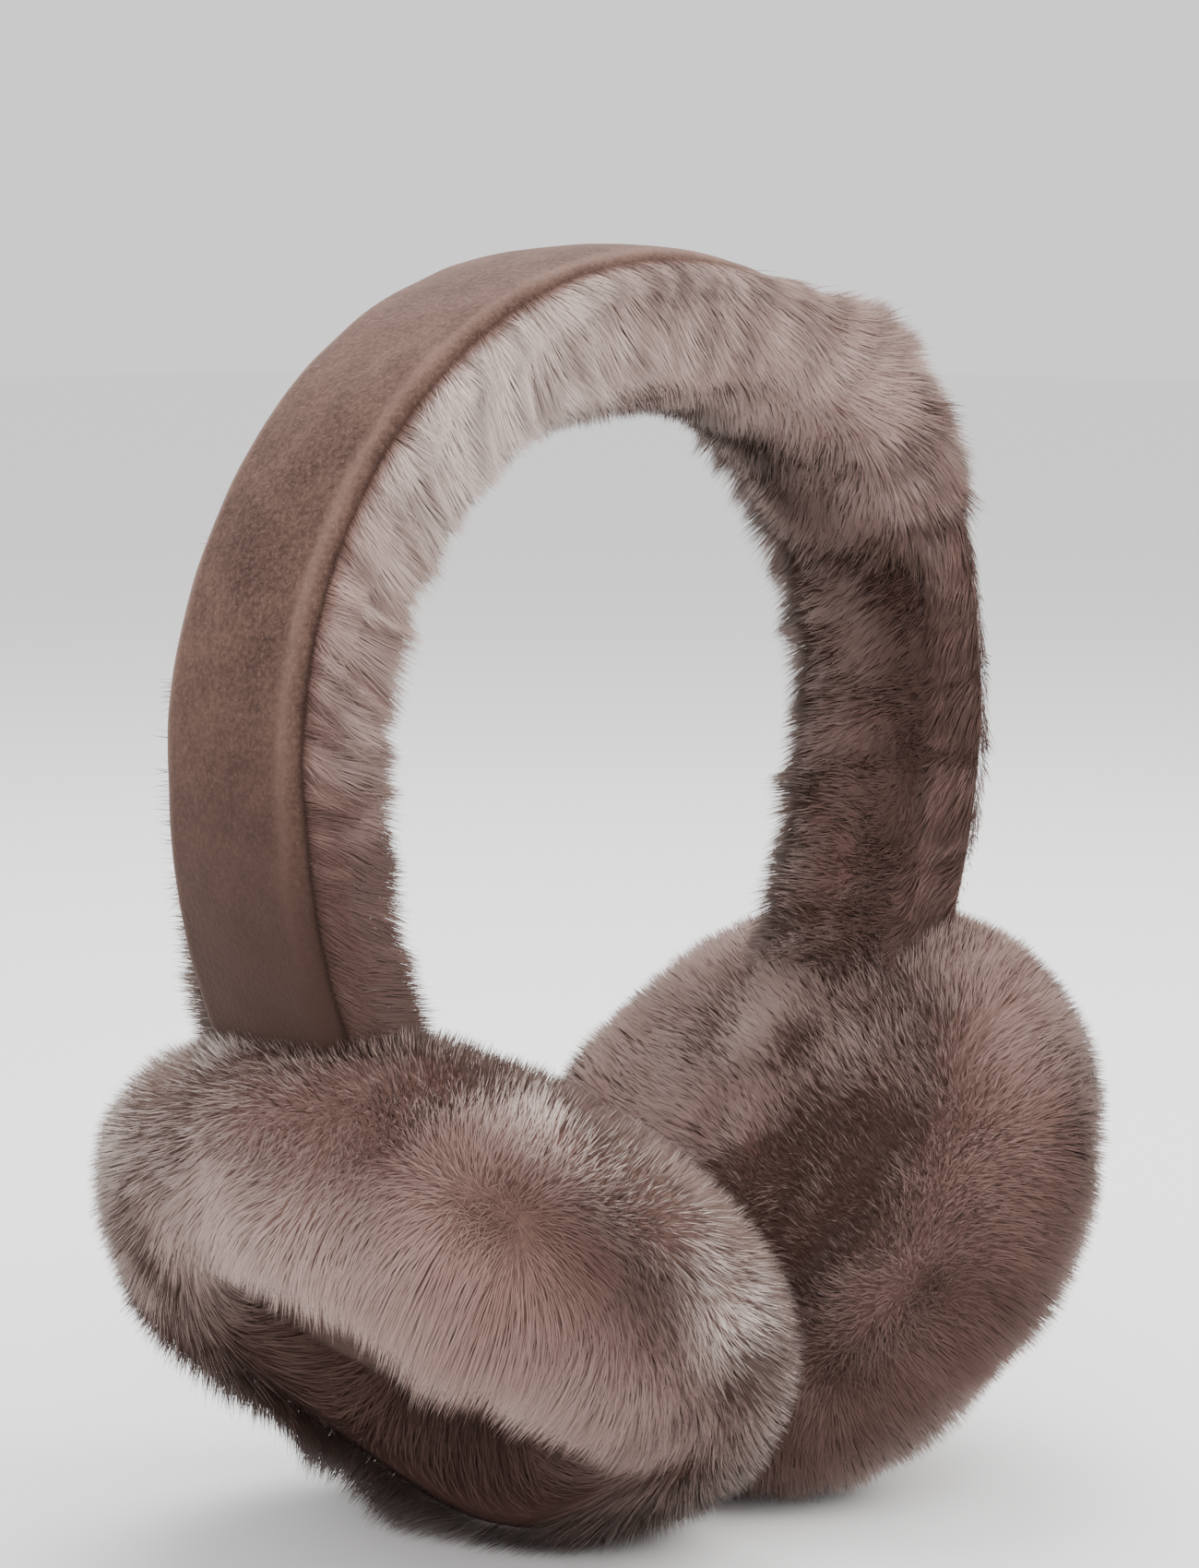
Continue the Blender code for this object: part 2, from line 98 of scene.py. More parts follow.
def smoothStep(low, high, value):
    # 0 below low, 1 above high, and smooth between them
    share = np.clip((value - low) / (high - low), 0, 1)
    return share * share * (3 - 2 * share)


# Mesh helpers


def gridMesh(name, points):
    # A closed surface from rows and columns of points: the columns meet round it, and a middle
    # point closes each end
    rows, columns = points.shape[:2]
    around = np.arange(columns)
    r, c = np.meshgrid(np.arange(rows - 1), around, indexing="ij")
    n = (c + 1) % columns
    quads = np.stack([r * columns + c, r * columns + n, (r + 1) * columns + n,
                      (r + 1) * columns + c], axis=-1).reshape(-1, 4)
    verts = np.concatenate([points.reshape(-1, 3), [points[0].mean(0), points[-1].mean(0)]])
    first = np.full(columns, rows * columns)
    after = (around + 1) % columns
    last = (rows - 1) * columns
    faces = quads.tolist() + np.stack([after, around, first], axis=-1).tolist()
    faces += np.stack([last + around, last + after, first + 1], axis=-1).tolist()
    mesh = bpy.data.meshes.new(name)
    mesh.from_pydata(verts.tolist(), [], faces)
    mesh.update()
    mesh.shade_smooth()
    return mesh


def markPoints(mesh, name, value):
    # Writes one value a point of the grid; the points that close the ends keep the last one
    made = mesh.attributes.new(name, "FLOAT", "POINT")
    data = np.full(len(mesh.vertices), value.ravel()[-1], np.float32)
    data[: value.size] = value.ravel()
    made.data.foreach_set("value", data)


def turnOutward(mesh):
    # The signed volume of a closed surface is the sum of its corners' triple products
    count = len(mesh.vertices)
    co = np.empty(count * 3)
    mesh.vertices.foreach_get("co", co)
    co = co.reshape(-1, 3)
    mesh.calc_loop_triangles()
    tri = np.empty(len(mesh.loop_triangles) * 3, np.int32)
    mesh.loop_triangles.foreach_get("vertices", tri)
    a, b, c = (co[tri.reshape(-1, 3)[:, k]] for k in range(3))
    if np.sum(a * np.cross(b, c)) < 0:
        mesh.flip_normals()


def addObject(name, data):
    item = bpy.data.objects.new(name, data)
    bpy.context.scene.collection.objects.link(item)
    return item


def addPiece(name, mesh, material, replaced=()):
    item = addObject(name, mesh)
    mesh.materials.append(material)
    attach(item, "root")
    if replaced:
        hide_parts(*replaced)
    return item


# Shader helpers

softGloss = 0.18  # suede and fur hardly shine


class Socket:
    # Wraps an output, so that shader maths reads as an expression on values
    def __init__(self, tree, output):
        self.tree = tree
        self.output = output

    def maths(self, operation, first, second):
        return self.tree.node("ShaderNodeMath", {0: first, 1: second}, operation=operation)

    def __add__(self, other):
        return self.maths("ADD", self, other)

    def __radd__(self, other):
        return self.maths("ADD", other, self)

    def __sub__(self, other):
        return self.maths("SUBTRACT", self, other)

    def __rsub__(self, other):
        return self.maths("SUBTRACT", other, self)

    def __mul__(self, other):
        return self.maths("MULTIPLY", self, other)

    def __rmul__(self, other):
        return self.maths("MULTIPLY", other, self)

    def between(self, low, high):
        # 0 below low, 1 above high, and smooth between them
        values = {"Value": self, "From Min": low, "From Max": high}
        return self.tree.node("ShaderNodeMapRange", values, interpolation_type="SMOOTHSTEP")


class Tree:
    # A material's nodes, made by one method
    def __init__(self, name, roughness, sheen):
        self.material = bpy.data.materials.new(name)
        self.material.use_nodes = True
        self.nodes = self.material.node_tree.nodes
        self.links = self.material.node_tree.links
        self.shader = self.nodes["Principled BSDF"]
        self.shader.inputs["Roughness"].default_value = roughness
        self.shader.inputs["Specular IOR Level"].default_value = softGloss
        self.shader.inputs["Sheen Weight"].default_value = sheen["weight"]
        self.shader.inputs["Sheen Roughness"].default_value = sheen["roughness"]
        self.shader.inputs["Sheen Tint"].default_value = (*sheen["tint"], 1.0)

    def node(self, kind, values=None, out=0, **settings):
        made = self.nodes.new(kind)
        for key, value in settings.items():
            setattr(made, key, value)
        for key, value in (values or {}).items():
            if isinstance(value, Socket):
                self.links.new(value.output, made.inputs[key])
            else:
                made.inputs[key].default_value = value
        return Socket(self, made.outputs[out])

    def attribute(self, name):
        return self.node("ShaderNodeAttribute", attribute_name=name, out="Fac")

    def noise(self, where, scale, detail=2.0):
        values = {"Vector": where, "Scale": scale, "Detail": detail}
        return self.node("ShaderNodeTexNoise", values, out="Fac")

    def mix(self, factor, first, second):
        # Joins the colour sockets of a Mix node, and adds the fourth number to a colour of three
        first, second = ((*c, 1.0) if isinstance(c, tuple) else c for c in (first, second))
        return self.node("ShaderNodeMix", {0: factor, 6: first, 7: second}, out=2, data_type="RGBA")

    def feed(self, name, value):
        self.links.new(value.output, self.shader.inputs[name])


# The earmuffs' own measures, the same as the frame's

band = {
    "halfWidth": 0.093, "rise": 0.090, "limbCurve": 0.120, "limbDrop": 0.054,
    "widestHeight": 0.147017, "shiftX": -0.0031, "shiftY": 0.0015,
    "coverWidth": 0.034, "sideDepth": 0.010, "edgeRadius": 0.0045, "wall": 0.0016,
    "furWidth": 0.043, "furDepth": 0.029,
}
cups = {
    "left": {"centre": (-0.046245, -0.000528, 0.052475), "tilt": 48.5, "toe": 12.0, "side": -1,
             "seed": 11, "sole": 0.0092},
    "right": {"centre": (0.050643, 0.0, 0.051995), "tilt": 41.0, "toe": 3.0, "side": 1,
              "seed": 23, "sole": 0.0046},
}
cupForm = {"rimRadius": 0.044, "halfThickness": 0.022, "discRadius": 0.038, "discRecess": 0.011,
           "discDome": 0.004, "discWall": 0.002, "dish": 0.003}
peltGap = 0.0004  # between a pelt and the suede beside it
floorGap = 0.0004  # between the fur and the floor


def bandLengths():
    limb = band["limbCurve"] * np.arcsin(band["limbDrop"] / band["limbCurve"])
    crown = np.pi * (band["halfWidth"] + band["rise"]) / 2
    return limb, crown, 2 * limb + crown


def bandPath(along):
    # Arc, half ellipse, arc: the place on the band's outer line at a length from its left end, and
    # the direction out of the arch. The limbs' sections are level.
    limb, crown = bandLengths()[:2]
    turn = np.pi * np.clip((along - limb) / crown, 0, 1)
    x = -band["halfWidth"] * np.cos(turn)
    z = band["rise"] * np.sin(turn)
    out = np.stack([x / band["halfWidth"] ** 2, 0 * x, z / band["rise"] ** 2], axis=-1)
    below = np.maximum(limb - along, along - limb - crown)
    angle = np.maximum(below, 0) / band["limbCurve"]
    x = x - np.sign(x) * band["limbCurve"] * (1 - np.cos(angle))
    z = z - band["limbCurve"] * np.sin(angle)
    place = np.stack([x + band["shiftX"], 0 * x + band["shiftY"], z + band["widestHeight"]], -1)
    return place, unit(out)


def onBand(along, across, depth):
    # The outer line's place, moved in by the depth and sideways by the way across
    place, out = bandPath(along)
    return place - out * depth[..., None] + across[..., None] * np.array([0.0, 1.0, 0.0])


def cupTurn(cup):
    # A cup's own axes: its axis leans by the tilt and heads outward, turned in by the toe
    heading = -np.radians(cup["toe"]) if cup["side"] > 0 else np.pi + np.radians(cup["toe"])
    return np.array(Euler((0.0, np.pi / 2 + np.radians(cup["tilt"]), heading)).to_matrix())


def cupToFrame(cup, points):
    return points @ cupTurn(cup).T + np.array(cup["centre"])


# Light, floor and camera

view = {"focal": 94.17, "sensor": 36.0, "place": (-0.5498, -0.5264, 0.235), "pitch": 82.696,
        "heading": -46.0}
lamps = (
    {"name": "key", "place": (0.35, -0.80, 1.00), "size": 0.9, "power": 15.0,
     "tint": (1.0, 0.98, 0.95)},
    {"name": "fill", "place": (-0.95, -0.45, 0.60), "size": 1.1, "power": 7.5,
     "tint": (0.97, 0.98, 1.0)},
    {"name": "rim", "place": (0.35, 0.40, 1.15), "size": 0.8, "power": 15.0,
     "tint": (1.0, 1.0, 1.0)},
)
studio = {"aim": (0.0, 0.0, 0.11), "sky": (1.0, 1.0, 1.0, 1.0), "skyStrength": 1.15,
          "floorReach": 6.0, "floorTone": (0.94, 0.94, 0.935, 1.0), "floorRoughness": 0.9}


def buildStudio():
    camera = addObject("camera", bpy.data.cameras.new("camera"))
    camera.data.sensor_fit = "AUTO"
    camera.data.sensor_width = view["sensor"]
    camera.data.lens = view["focal"]
    camera.location = view["place"]
    camera.rotation_euler = (np.radians(view["pitch"]), 0.0, np.radians(view["heading"]))
    bpy.context.scene.camera = camera
    for lamp in lamps:
        light = bpy.data.lights.new(lamp["name"], "AREA")
        light.size = lamp["size"]
        light.energy = lamp["power"]
        light.color = lamp["tint"]
        item = addObject(lamp["name"], light)
        item.location = lamp["place"]
        aim = Vector(studio["aim"]) - Vector(lamp["place"])
        item.rotation_euler = aim.to_track_quat("-Z", "Y").to_euler()
    world = bpy.data.worlds.new("studio")
    world.use_nodes = True
    sky = world.node_tree.nodes["Background"]
    sky.inputs["Color"].default_value = studio["sky"]
    sky.inputs["Strength"].default_value = studio["skyStrength"]
    bpy.context.scene.world = world
    far = studio["floorReach"]
    mesh = bpy.data.meshes.new("floor")
    corners = [(-far, -far, 0), (far, -far, 0), (far, far, 0), (-far, far, 0)]
    mesh.from_pydata(corners, [], [(0, 1, 2, 3)])
    floor = addObject("floor", mesh)
    pale = bpy.data.materials.new("pale_floor")
    pale.use_nodes = True
    shader = pale.node_tree.nodes["Principled BSDF"]
    shader.inputs["Base Color"].default_value = studio["floorTone"]
    shader.inputs["Roughness"].default_value = studio["floorRoughness"]
    mesh.materials.append(pale)


buildStudio()
print("studio built")

# Suede

# Grain, speck, brushed and cloud are how fine the noises are, and the shares are how much each of
# cloud, brushed and speck counts in the tone. The pale colour serves both the grain's wear and the
# painted highlight on the ridge, at the ridge share; disc is the share of painted shade that darkens
# the discs in their recess
suedeLook = {
    "deep": (0.034, 0.017, 0.013), "mid": (0.144, 0.080, 0.062), "wornAndHighlight": (0.250, 0.155, 0.125),
    "grain": 2200.0, "speck": 990.0, "brushed": 120.0, "cloud": 30.0,
    "shares": (0.35, 0.20, 0.45), "wornGrain": 0.40, "ridge": 0.40, "disc": 0.55,
    "roughness": 0.92, "bump": 0.30, "bumpDepth": 0.0002,
    "sheen": {"weight": 0.16, "roughness": 0.45, "tint": (0.85, 0.62, 0.54)},
}


def suedeMaterial(name, ridged):
    look = suedeLook
    tree = Tree(name, look["roughness"], look["sheen"])
    where = tree.node("ShaderNodeTexCoord", out="Object")
    cloud = tree.noise(where, look["cloud"], 3.0).between(0.3, 0.72)
    brushed = tree.noise(where, look["brushed"], 3.0).between(0.3, 0.7)
    grain = tree.noise(where, look["grain"])
    speck = tree.noise(where, look["speck"]).between(0.28, 0.75)
    ofCloud, ofBrushed, ofSpeck = look["shares"]
    tone = cloud * ofCloud + brushed * ofBrushed + speck * ofSpeck
    colour = tree.mix(tone, look["deep"], look["mid"])
    wornGrain = grain.between(0.50, 0.80) * look["wornGrain"]
    colour = tree.mix(wornGrain, colour, look["wornAndHighlight"])
    if ridged:
        edge = tree.attribute("edge")
        # Painted highlight: the ridge is mixed towards the pale colour, then painted shade darkens
        # the sides and the low limbs
        colour = tree.mix(edge * look["ridge"], colour, look["wornAndHighlight"])
        colour = tree.mix(tree.attribute("shade"), colour, look["deep"])
    else:
        # Painted shade: the discs lie in a recess under the fur roll, so their suede is darkened
        # towards the deep colour
        colour = tree.mix(look["disc"], colour, look["deep"])
    tree.feed("Base Color", colour)
    nap = {"Height": grain + speck, "Strength": look["bump"],
           "Distance": look["bumpDepth"]}
    tree.feed("Normal", tree.node("ShaderNodeBump", nap))
    return tree.material


# The ridge gets a painted highlight at its place across the band, where light catches the rounded
# edge. Painted side shade sets in with depth, and painted low shade below a height.
coverForm = {
    "stations": 200, "turnSteps": 9, "sideSteps": 6, "topSteps": 16, "crown": 0.0006,
    "middle": 0.006, "ripple": 0.00035, "rippleSizes": (0.016, 0.006),
    "ridgeAt": 0.0145, "ridgeWidth": 0.0011, "ridgeDepth": 0.004,
    "sideShade": 0.92, "sideRange": (0.0008, 0.0045), "lowShade": 0.95, "lowRange": (0.105, 0.190),
}


def coverProfile():
    # Across and depth of the cover's outer line from lip to lip: a straight side, a quarter turn,
    # a top that swells a little, and the mirror image
    half, radius, side = band["coverWidth"] / 2, band["edgeRadius"], band["sideDepth"]
    down = np.linspace(side, radius, coverForm["sideSteps"], endpoint=False)
    turn = np.linspace(0, np.pi / 2, coverForm["turnSteps"])
    top = np.linspace(half - radius, -(half - radius), coverForm["topSteps"])[1:-1]
    across = np.concatenate([np.full(len(down), half), half - radius * (1 - np.cos(turn)), top,
                             -half + radius * (1 - np.sin(turn)), np.full(len(down), -half)])
    depth = np.concatenate([down, radius * (1 - np.sin(turn)),
                            -coverForm["crown"] * (1 - (top / (half - radius)) ** 2),
                            radius * (1 - np.cos(turn)), down[::-1]])
    return across, depth


def buildCover():
    # The profile and its inner line, one wall further in, carried along the band
    form = coverForm
    across, depth = coverProfile()
    outer = np.stack([across, depth], -1)
    step = np.gradient(outer, axis=0)
    normal = unit(np.stack([-step[:, 1], step[:, 0]], -1))
    middle = np.array([0.0, form["middle"]])
    inward = -1 if np.sum(normal * (outer - middle)) > 0 else 1
    inner = outer + normal * band["wall"] * inward
    loopAcross = np.concatenate([across, inner[::-1, 0]])
    loopDepth = np.concatenate([depth, inner[::-1, 1]])
    along = np.linspace(0, bandLengths()[2], form["stations"])[:, None]
    along, a = np.broadcast_arrays(along, loopAcross[None, :])
    d = np.broadcast_to(loopDepth[None, :], a.shape)
    points = onBand(along, a, d)
    wide, narrow = form["rippleSizes"]
    ripple = softNoise(points, wide, 3) + 0.5 * softNoise(points, narrow, 4)
    d = d + form["ripple"] * ripple
    points = onBand(along, a, d)
    mesh = gridMesh("headband_suede", points)
    # Painted highlight along the rounded ridge, near the outer face
    edge = np.exp(-((np.abs(a) - form["ridgeAt"]) / form["ridgeWidth"]) ** 2)
    edge = edge * (d < form["ridgeDepth"])
    low = form["lowShade"] * (1 - smoothStep(*form["lowRange"], points[..., 2]))
    shade = np.maximum(form["sideShade"] * smoothStep(*form["sideRange"], d), low)
    markPoints(mesh, "edge", edge)
    markPoints(mesh, "shade", shade)
    turnOutward(mesh)
    addPiece("headband_suede", mesh, suedeMaterial("band_suede", True),
             ("headband_cover",))


discForm = {"rings": 24, "hub": 0.02, "columns": 72, "rimSteps": 6, "rimBulge": 0.0008,
            "rimHeight": 0.001}


def buildDisc(side, material):
    # A domed disc turned about the cup's axis, with a rolled rim and its own thickness
    cup = cups[side]
    radius, seam = cupForm["discRadius"], cupForm["halfThickness"] - cupForm["discRecess"]
    share = np.linspace(discForm["hub"], 1.0, discForm["rings"])
    upper = np.stack([radius * share, seam + cupForm["discDome"] * (1 - share**2)], -1)
    rim = np.linspace(0, np.pi, discForm["rimSteps"])[1:-1]
    bulge, rise = discForm["rimBulge"], discForm["rimHeight"]
    rolled = np.stack([radius + bulge * np.sin(rim) - bulge,
                       seam - rise + rise * np.cos(rim)], -1)
    lower = upper[::-1] - np.array([0.0, cupForm["discWall"]])
    line = np.concatenate([upper, rolled, lower])
    angle = np.linspace(0, 2 * np.pi, discForm["columns"], endpoint=False)
    x = line[:, None, 0] * np.cos(angle)
    y = line[:, None, 0] * np.sin(angle)
    points = cupToFrame(cup, np.stack([x, y, np.broadcast_to(line[:, None, 1], x.shape)], -1))
    mesh = gridMesh(side + "_disc_suede", points)
    turnOutward(mesh)
    addPiece(side + "_disc_suede", mesh, material, (side + "_cup_disc",))


buildCover()
discSuede = suedeMaterial("disc_suede", False)
for side in cups:
    buildDisc(side, discSuede)
print("suede built")

# Pelts: the skins that the hair grows on

# The fifth colour darkens hair and pelt: painted shade in creases, underneath and on faces turned
# from the light, with some darker tone at random; the last number is its most
furLook = {
    "root": (0.210, 0.120, 0.100), "body": (0.275, 0.163, 0.137), "tip": (0.820, 0.690, 0.640),
    "skin": (0.200, 0.114, 0.095), "shadeAndTone": (0.062, 0.031, 0.025), "shadeAndToneMost": 0.9,
}
peltLook = {"blotches": 900.0, "nap": 1800.0, "bump": 0.3, "bumpDepth": 0.0005,
            "sheen": {"weight": 0.0, "roughness": 0.5, "tint": (1, 1, 1)}}
# Depth is a share of the fur's depth; front and back are how fully the fur stands over that
# edge; wrap is how far it comes up the front of the suede. Pale pales the hair tips on the front
# side, partly as painted light; the column after it is painted shade on the front side, with some
# darker tone; inside is painted shade on the inner face, which is turned from the light.
bandKeys = ("along", "depth", "front", "back", "wrap", "pale", "shadeAndTone", "inside")
bandForm = [dict(zip(bandKeys, row)) for row in (
    (0.00, 0.93, 0.00, 0.35, 0.60, 0.00, 0.90, 0.40),
    (0.10, 0.98, 0.00, 0.05, 0.65, 0.00, 0.85, 0.35),
    (0.16, 1.00, 0.00, 0.00, 0.75, 0.16, 0.45, 0.25),
    (0.24, 0.97, 0.00, 0.00, 0.80, 0.28, 0.08, 0.15),
    (0.34, 1.01, 0.00, 0.00, 0.80, 0.85, 0.00, 0.10),
    (0.50, 1.05, 0.00, 0.00, 0.80, 0.28, 0.02, 0.20),
    (0.58, 0.95, 0.35, 0.00, 0.85, 0.22, 0.08, 0.80),
    (0.64, 0.87, 0.75, 0.00, 0.90, 0.20, 0.08, 0.95),
    (0.70, 0.80, 0.55, 0.00, 0.95, 0.17, 0.18, 0.80),
    (0.77, 0.71, 0.20, 0.00, 0.95, 0.05, 0.60, 0.22),
    (0.84, 0.66, 0.10, 0.00, 0.95, 0.00, 0.68, 0.06),
    (0.93, 0.76, 0.05, 0.00, 0.95, 0.00, 0.62, 0.00),
    (1.00, 0.72, 0.00, 0.00, 0.95, 0.00, 0.55, 0.00),
)]
bandSkin = {
    "inset": 0.0050, "sideInset": 0.0036, "fluffWidth": 0.0045, "lipDepth": 0.0008,
    "sideBow": 0.75, "faceBow": 0.85, "faceFrom": 0.25, "channelBow": 0.35, "turnOut": 0.12,
    "foldRange": (0.10, 0.22, 0.6), "lump": 0.0008, "lumpSize": 0.014, "lockPitch": 0.015,
    "lockDrift": (0.8, 0.020), "salt": 5, "rows": 180, "columns": 64,
}
cupSkin = {
    "inset": 0.0044, "lump": 0.0015, "lumpSize": 0.021, "seamDepth": 0.001, "tuck": 0.002,
    "soleFrom": 0.0384, "soleFade": 0.006, "hub": 0.004, "rows": 64, "columns": 110, "shadeAndTone": 0.14,
    "floorRings": (1.0, 0.5, 0.05),
}
# Soft hollows in the cups, or swellings where the depth is below 0, along an arc about the cup's
# axis. turn: its two ends in degrees. run: share of the outline from the middle of the ear side to
# the disc. fan: how strongly the hair turns away from it.
dents = (
    {"side": "left", "turn": (136, 144), "run": 0.75, "depth": 0.0055, "width": 0.0070, "fan": 1.4},
    {"side": "left", "turn": (95, 172), "run": 0.87, "depth": -0.0050, "width": 0.0120, "fan": 0.0},
    {"side": "right", "turn": (288, 312), "run": 0.55, "depth": 0.0042, "width": 0.0060, "fan": 0.6},
)
# Painted light and shade on a cup: places paler or darker than the rest, round a turn and a run
patchKeys = ("side", "turn", "run", "spread", "pale", "shadeAndTone")
lightAndShadePatches = [dict(zip(patchKeys, row)) for row in (
    ("left", 112, 0.57, (34, 0.09), 1.00, -0.2),
    ("left", 93, 0.65, (12, 0.06), 1.00, -0.2),
    ("left", 218, 0.60, (32, 0.16), 0.80, -0.2),
    ("left", 178, 0.82, (22, 0.07), 0.16, -0.1),
    ("left", 150, 0.94, (50, 0.05), 0.16, -0.1),
    ("left", 121, 0.70, (20, 0.08), -0.20, 0.50),
    ("left", 150, 0.70, (26, 0.09), -0.10, 0.16),
    ("left", 162, 0.61, (20, 0.10), -0.10, 0.05),
    ("left", 0, 0.92, (85, 0.25), -0.15, 0.75),
    ("right", 165, 0.44, (16, 0.08), 0.50, -0.2),
    ("right", 140, 0.26, (30, 0.10), 0.25, -0.1),
    ("right", 250, 0.32, (60, 0.16), 0.06, -0.12),
    ("right", 250, 0.68, (60, 0.10), -0.10, 0.45),
    ("right", 270, 0.62, (80, 0.30), -0.04, 0.16),
    ("right", 310, 0.58, (40, 0.12), -0.10, 0.42),
)]


def bandCurve(key, at):
    # Smooth reading between the rows of the band's table
    alongs = np.array([row["along"] for row in bandForm])
    values = np.array([row[key] for row in bandForm])
    place = np.clip(np.searchsorted(alongs, at, side="right") - 1, 0, len(alongs) - 2)
    share = smoothStep(alongs[place], alongs[place + 1], at)
    return values[place] + share * (values[place + 1] - values[place])


def bandFluff(u, v):
    # How fully the fur stands over the edge that this side of the section belongs to
    front = bandCurve("front", u)
    back = bandCurve("back", u)
    return np.where(np.cos(v) > 0, front, back)


def bandPelt(u, v):
    # u: share of the band's length. v: angle round the section, 0 at the front lip, pi / 2 in the
    # middle of the inner face, pi at the back lip; from there on it lies in the suede channel.
    # Across and depth are powers of cosine and sine, and the skin folds out round each lip.
    skin = bandSkin
    cosine, sine = np.cos(v), np.sin(v)
    q = np.abs(sine)
    full = band["furDepth"] * bandCurve("depth", u)
    lip = band["sideDepth"] + skin["lipDepth"]
    wide = band["furWidth"] / 2 - skin["sideInset"] + skin["fluffWidth"] * bandFluff(u, v)
    channel = band["coverWidth"] / 2 - band["wall"] - peltGap
    out = smoothStep(0.0, skin["turnOut"], q)
    outer = channel * (1 - out) + wide * np.abs(cosine) ** skin["sideBow"] * out
    inside = channel * np.abs(cosine) ** skin["channelBow"]
    across = np.sign(cosine) * np.where(sine >= 0, outer, inside)
    deep = full - skin["inset"] - lip
    wrap = np.where(cosine > 0, bandCurve("wrap", u), bandForm[0]["wrap"])
    low, high, end = skin["foldRange"]
    fold = smoothStep(low, high, q) * (1 - smoothStep(high, end, q))
    face = np.clip((q - skin["faceFrom"]) / (1 - skin["faceFrom"]), 0, 1)
    inner = lip + deep * face ** skin["faceBow"]
    inner = inner - band["sideDepth"] * wrap * fold
    floor = lip - (lip - band["wall"] - peltGap) * q ** skin["channelBow"]
    depth = np.where(sine >= 0, inner, floor)
    # -Y is the front, so the front lip is at negative across
    return onBand(u * bandLengths()[2], -across, depth)


def bandRelief(u, v, place):
    # Soft lumps, which don't depend on u and v
    return bandSkin["lump"] * softNoise(place, bandSkin["lumpSize"], bandSkin["salt"])


def cupOutline(u):
    # Radius, height and turn round the rim for a share of the outline from the middle of the ear
    # side to the disc's seam: a dished face, a half circle and a quarter ellipse
    form = cupForm
    rim, tube = form["rimRadius"], form["halfThickness"] - cupSkin["inset"]
    seam = form["discRadius"] + peltGap
    seamHeight = form["halfThickness"] - form["discRecess"] - cupSkin["seamDepth"]
    face, roll = rim, np.pi * tube
    inner = np.pi / 4 * (rim - seam + tube - seamHeight) + cupSkin["tuck"]
    run = u * (face + roll + inner)
    turn = np.clip((run - face) / tube, 0, np.pi)
    last = np.clip((run - face - roll) / inner, 0, 1) * np.pi / 2
    dish = form["dish"] * (1 - (run / rim) ** 2)
    radius = np.where(run < face, run, rim + tube * np.sin(turn))
    height = -tube * np.cos(turn) + np.where(run < face, dish, 0)
    past = run > face + roll
    radius = np.where(past, rim - (rim - seam) * np.sin(last), radius)
    height = np.where(past, tube - (tube - seamHeight) * (1 - np.cos(last)), height)
    return radius, height, turn / np.pi


def cupPelt(cup):
    # The outline turned about the cup's axis; v is 0 on the low side, where the sole is added
    def shape(u, v):
        radius, height, over = cupOutline(u)
        under = np.maximum(np.cos(v), 0) ** 3 * np.sin(over * np.pi / 2) ** 2
        outer = np.clip((radius - cupSkin["soleFrom"]) / cupSkin["soleFade"], 0, 1)
        height = height + cup["sole"] * under * outer
        return cupToFrame(cup, np.stack([radius * np.cos(v), radius * np.sin(v), height], -1))

    return shape


def turnGap(v, degrees):
    # How far an angle lies from a turn, in degrees from -180 to 180
    return (np.degrees(v) - degrees + 180) % 360 - 180


def towardsDent(dent, v, place):
    # The way to the nearest point of a dent's arc
    middle, half = np.mean(dent["turn"]), np.ptp(dent["turn"]) / 2
    nearest = np.radians(middle + np.clip(turnGap(v, middle), -half, half))
    return cupPelt(cups[dent["side"]])(np.full(v.shape, dent["run"]), nearest) - place


def cupRelief(side):
    # Soft lumps, and dents that fade with the square of the distance
    def relief(u, v, place):
        height = cupSkin["lump"] * softNoise(place, cupSkin["lumpSize"], cups[side]["seed"])
        for dent in dents:
            if dent["side"] == side:
                gap = np.linalg.norm(towardsDent(dent, v, place), axis=-1)
                height = height - dent["depth"] * np.exp(-((gap / dent["width"]) ** 2))
        return height

    return relief


def cupLightAndShade(side, u, v, key):
    # Painted light and shade of a cup at a place, fading with the square of the distance
    total = np.zeros(np.shape(u))
    for patch in lightAndShadePatches:
        if patch["side"] == side:
            turnSpread, runSpread = patch["spread"]
            gap = (turnGap(v, patch["turn"]) / turnSpread) ** 2
            total += patch[key] * np.exp(-gap - ((u - patch["run"]) / runSpread) ** 2)
    return total


def frontAndBack(v):
    # How far a place on the band's section belongs to the front edge, and to the back edge
    return smoothStep(-0.2, 0.5, np.cos(v)), smoothStep(0.2, 0.7, -np.cos(v))


def bandShade(u, v):
    # Painted shade on the band's fur: by its own share on the front and on the inner face
    inFront, atBack = frontAndBack(v)
    front = bandCurve("shadeAndTone", u)
    inner = bandCurve("inside", u)
    return front * inFront + inner * (1 - inFront) * (1 - atBack)


def skinFrame(shape, relief, u, v):
    # Place, way along u and outward normal of the skin with its relief, by small steps
    step = 4e-3
    place = shape(u, v)
    ways, slopes = [], []
    for du, dv in ((step, 0.0), (0.0, 2 * step)):
        before, after = shape(u - du, v - dv), shape(u + du, v + dv)
        rise = relief(u + du, v + dv, after) - relief(u - du, v - dv, before)
        way = after - before
        slopes.append(rise / np.maximum(np.linalg.norm(way, axis=-1), 1e-6))
        ways.append(unit(way))
    out = unit(np.cross(ways[1], ways[0]))
    normal = unit(out - ways[0] * slopes[0][..., None] - ways[1] * slopes[1][..., None])
    return place + out * relief(u, v, place)[..., None], ways[0], normal


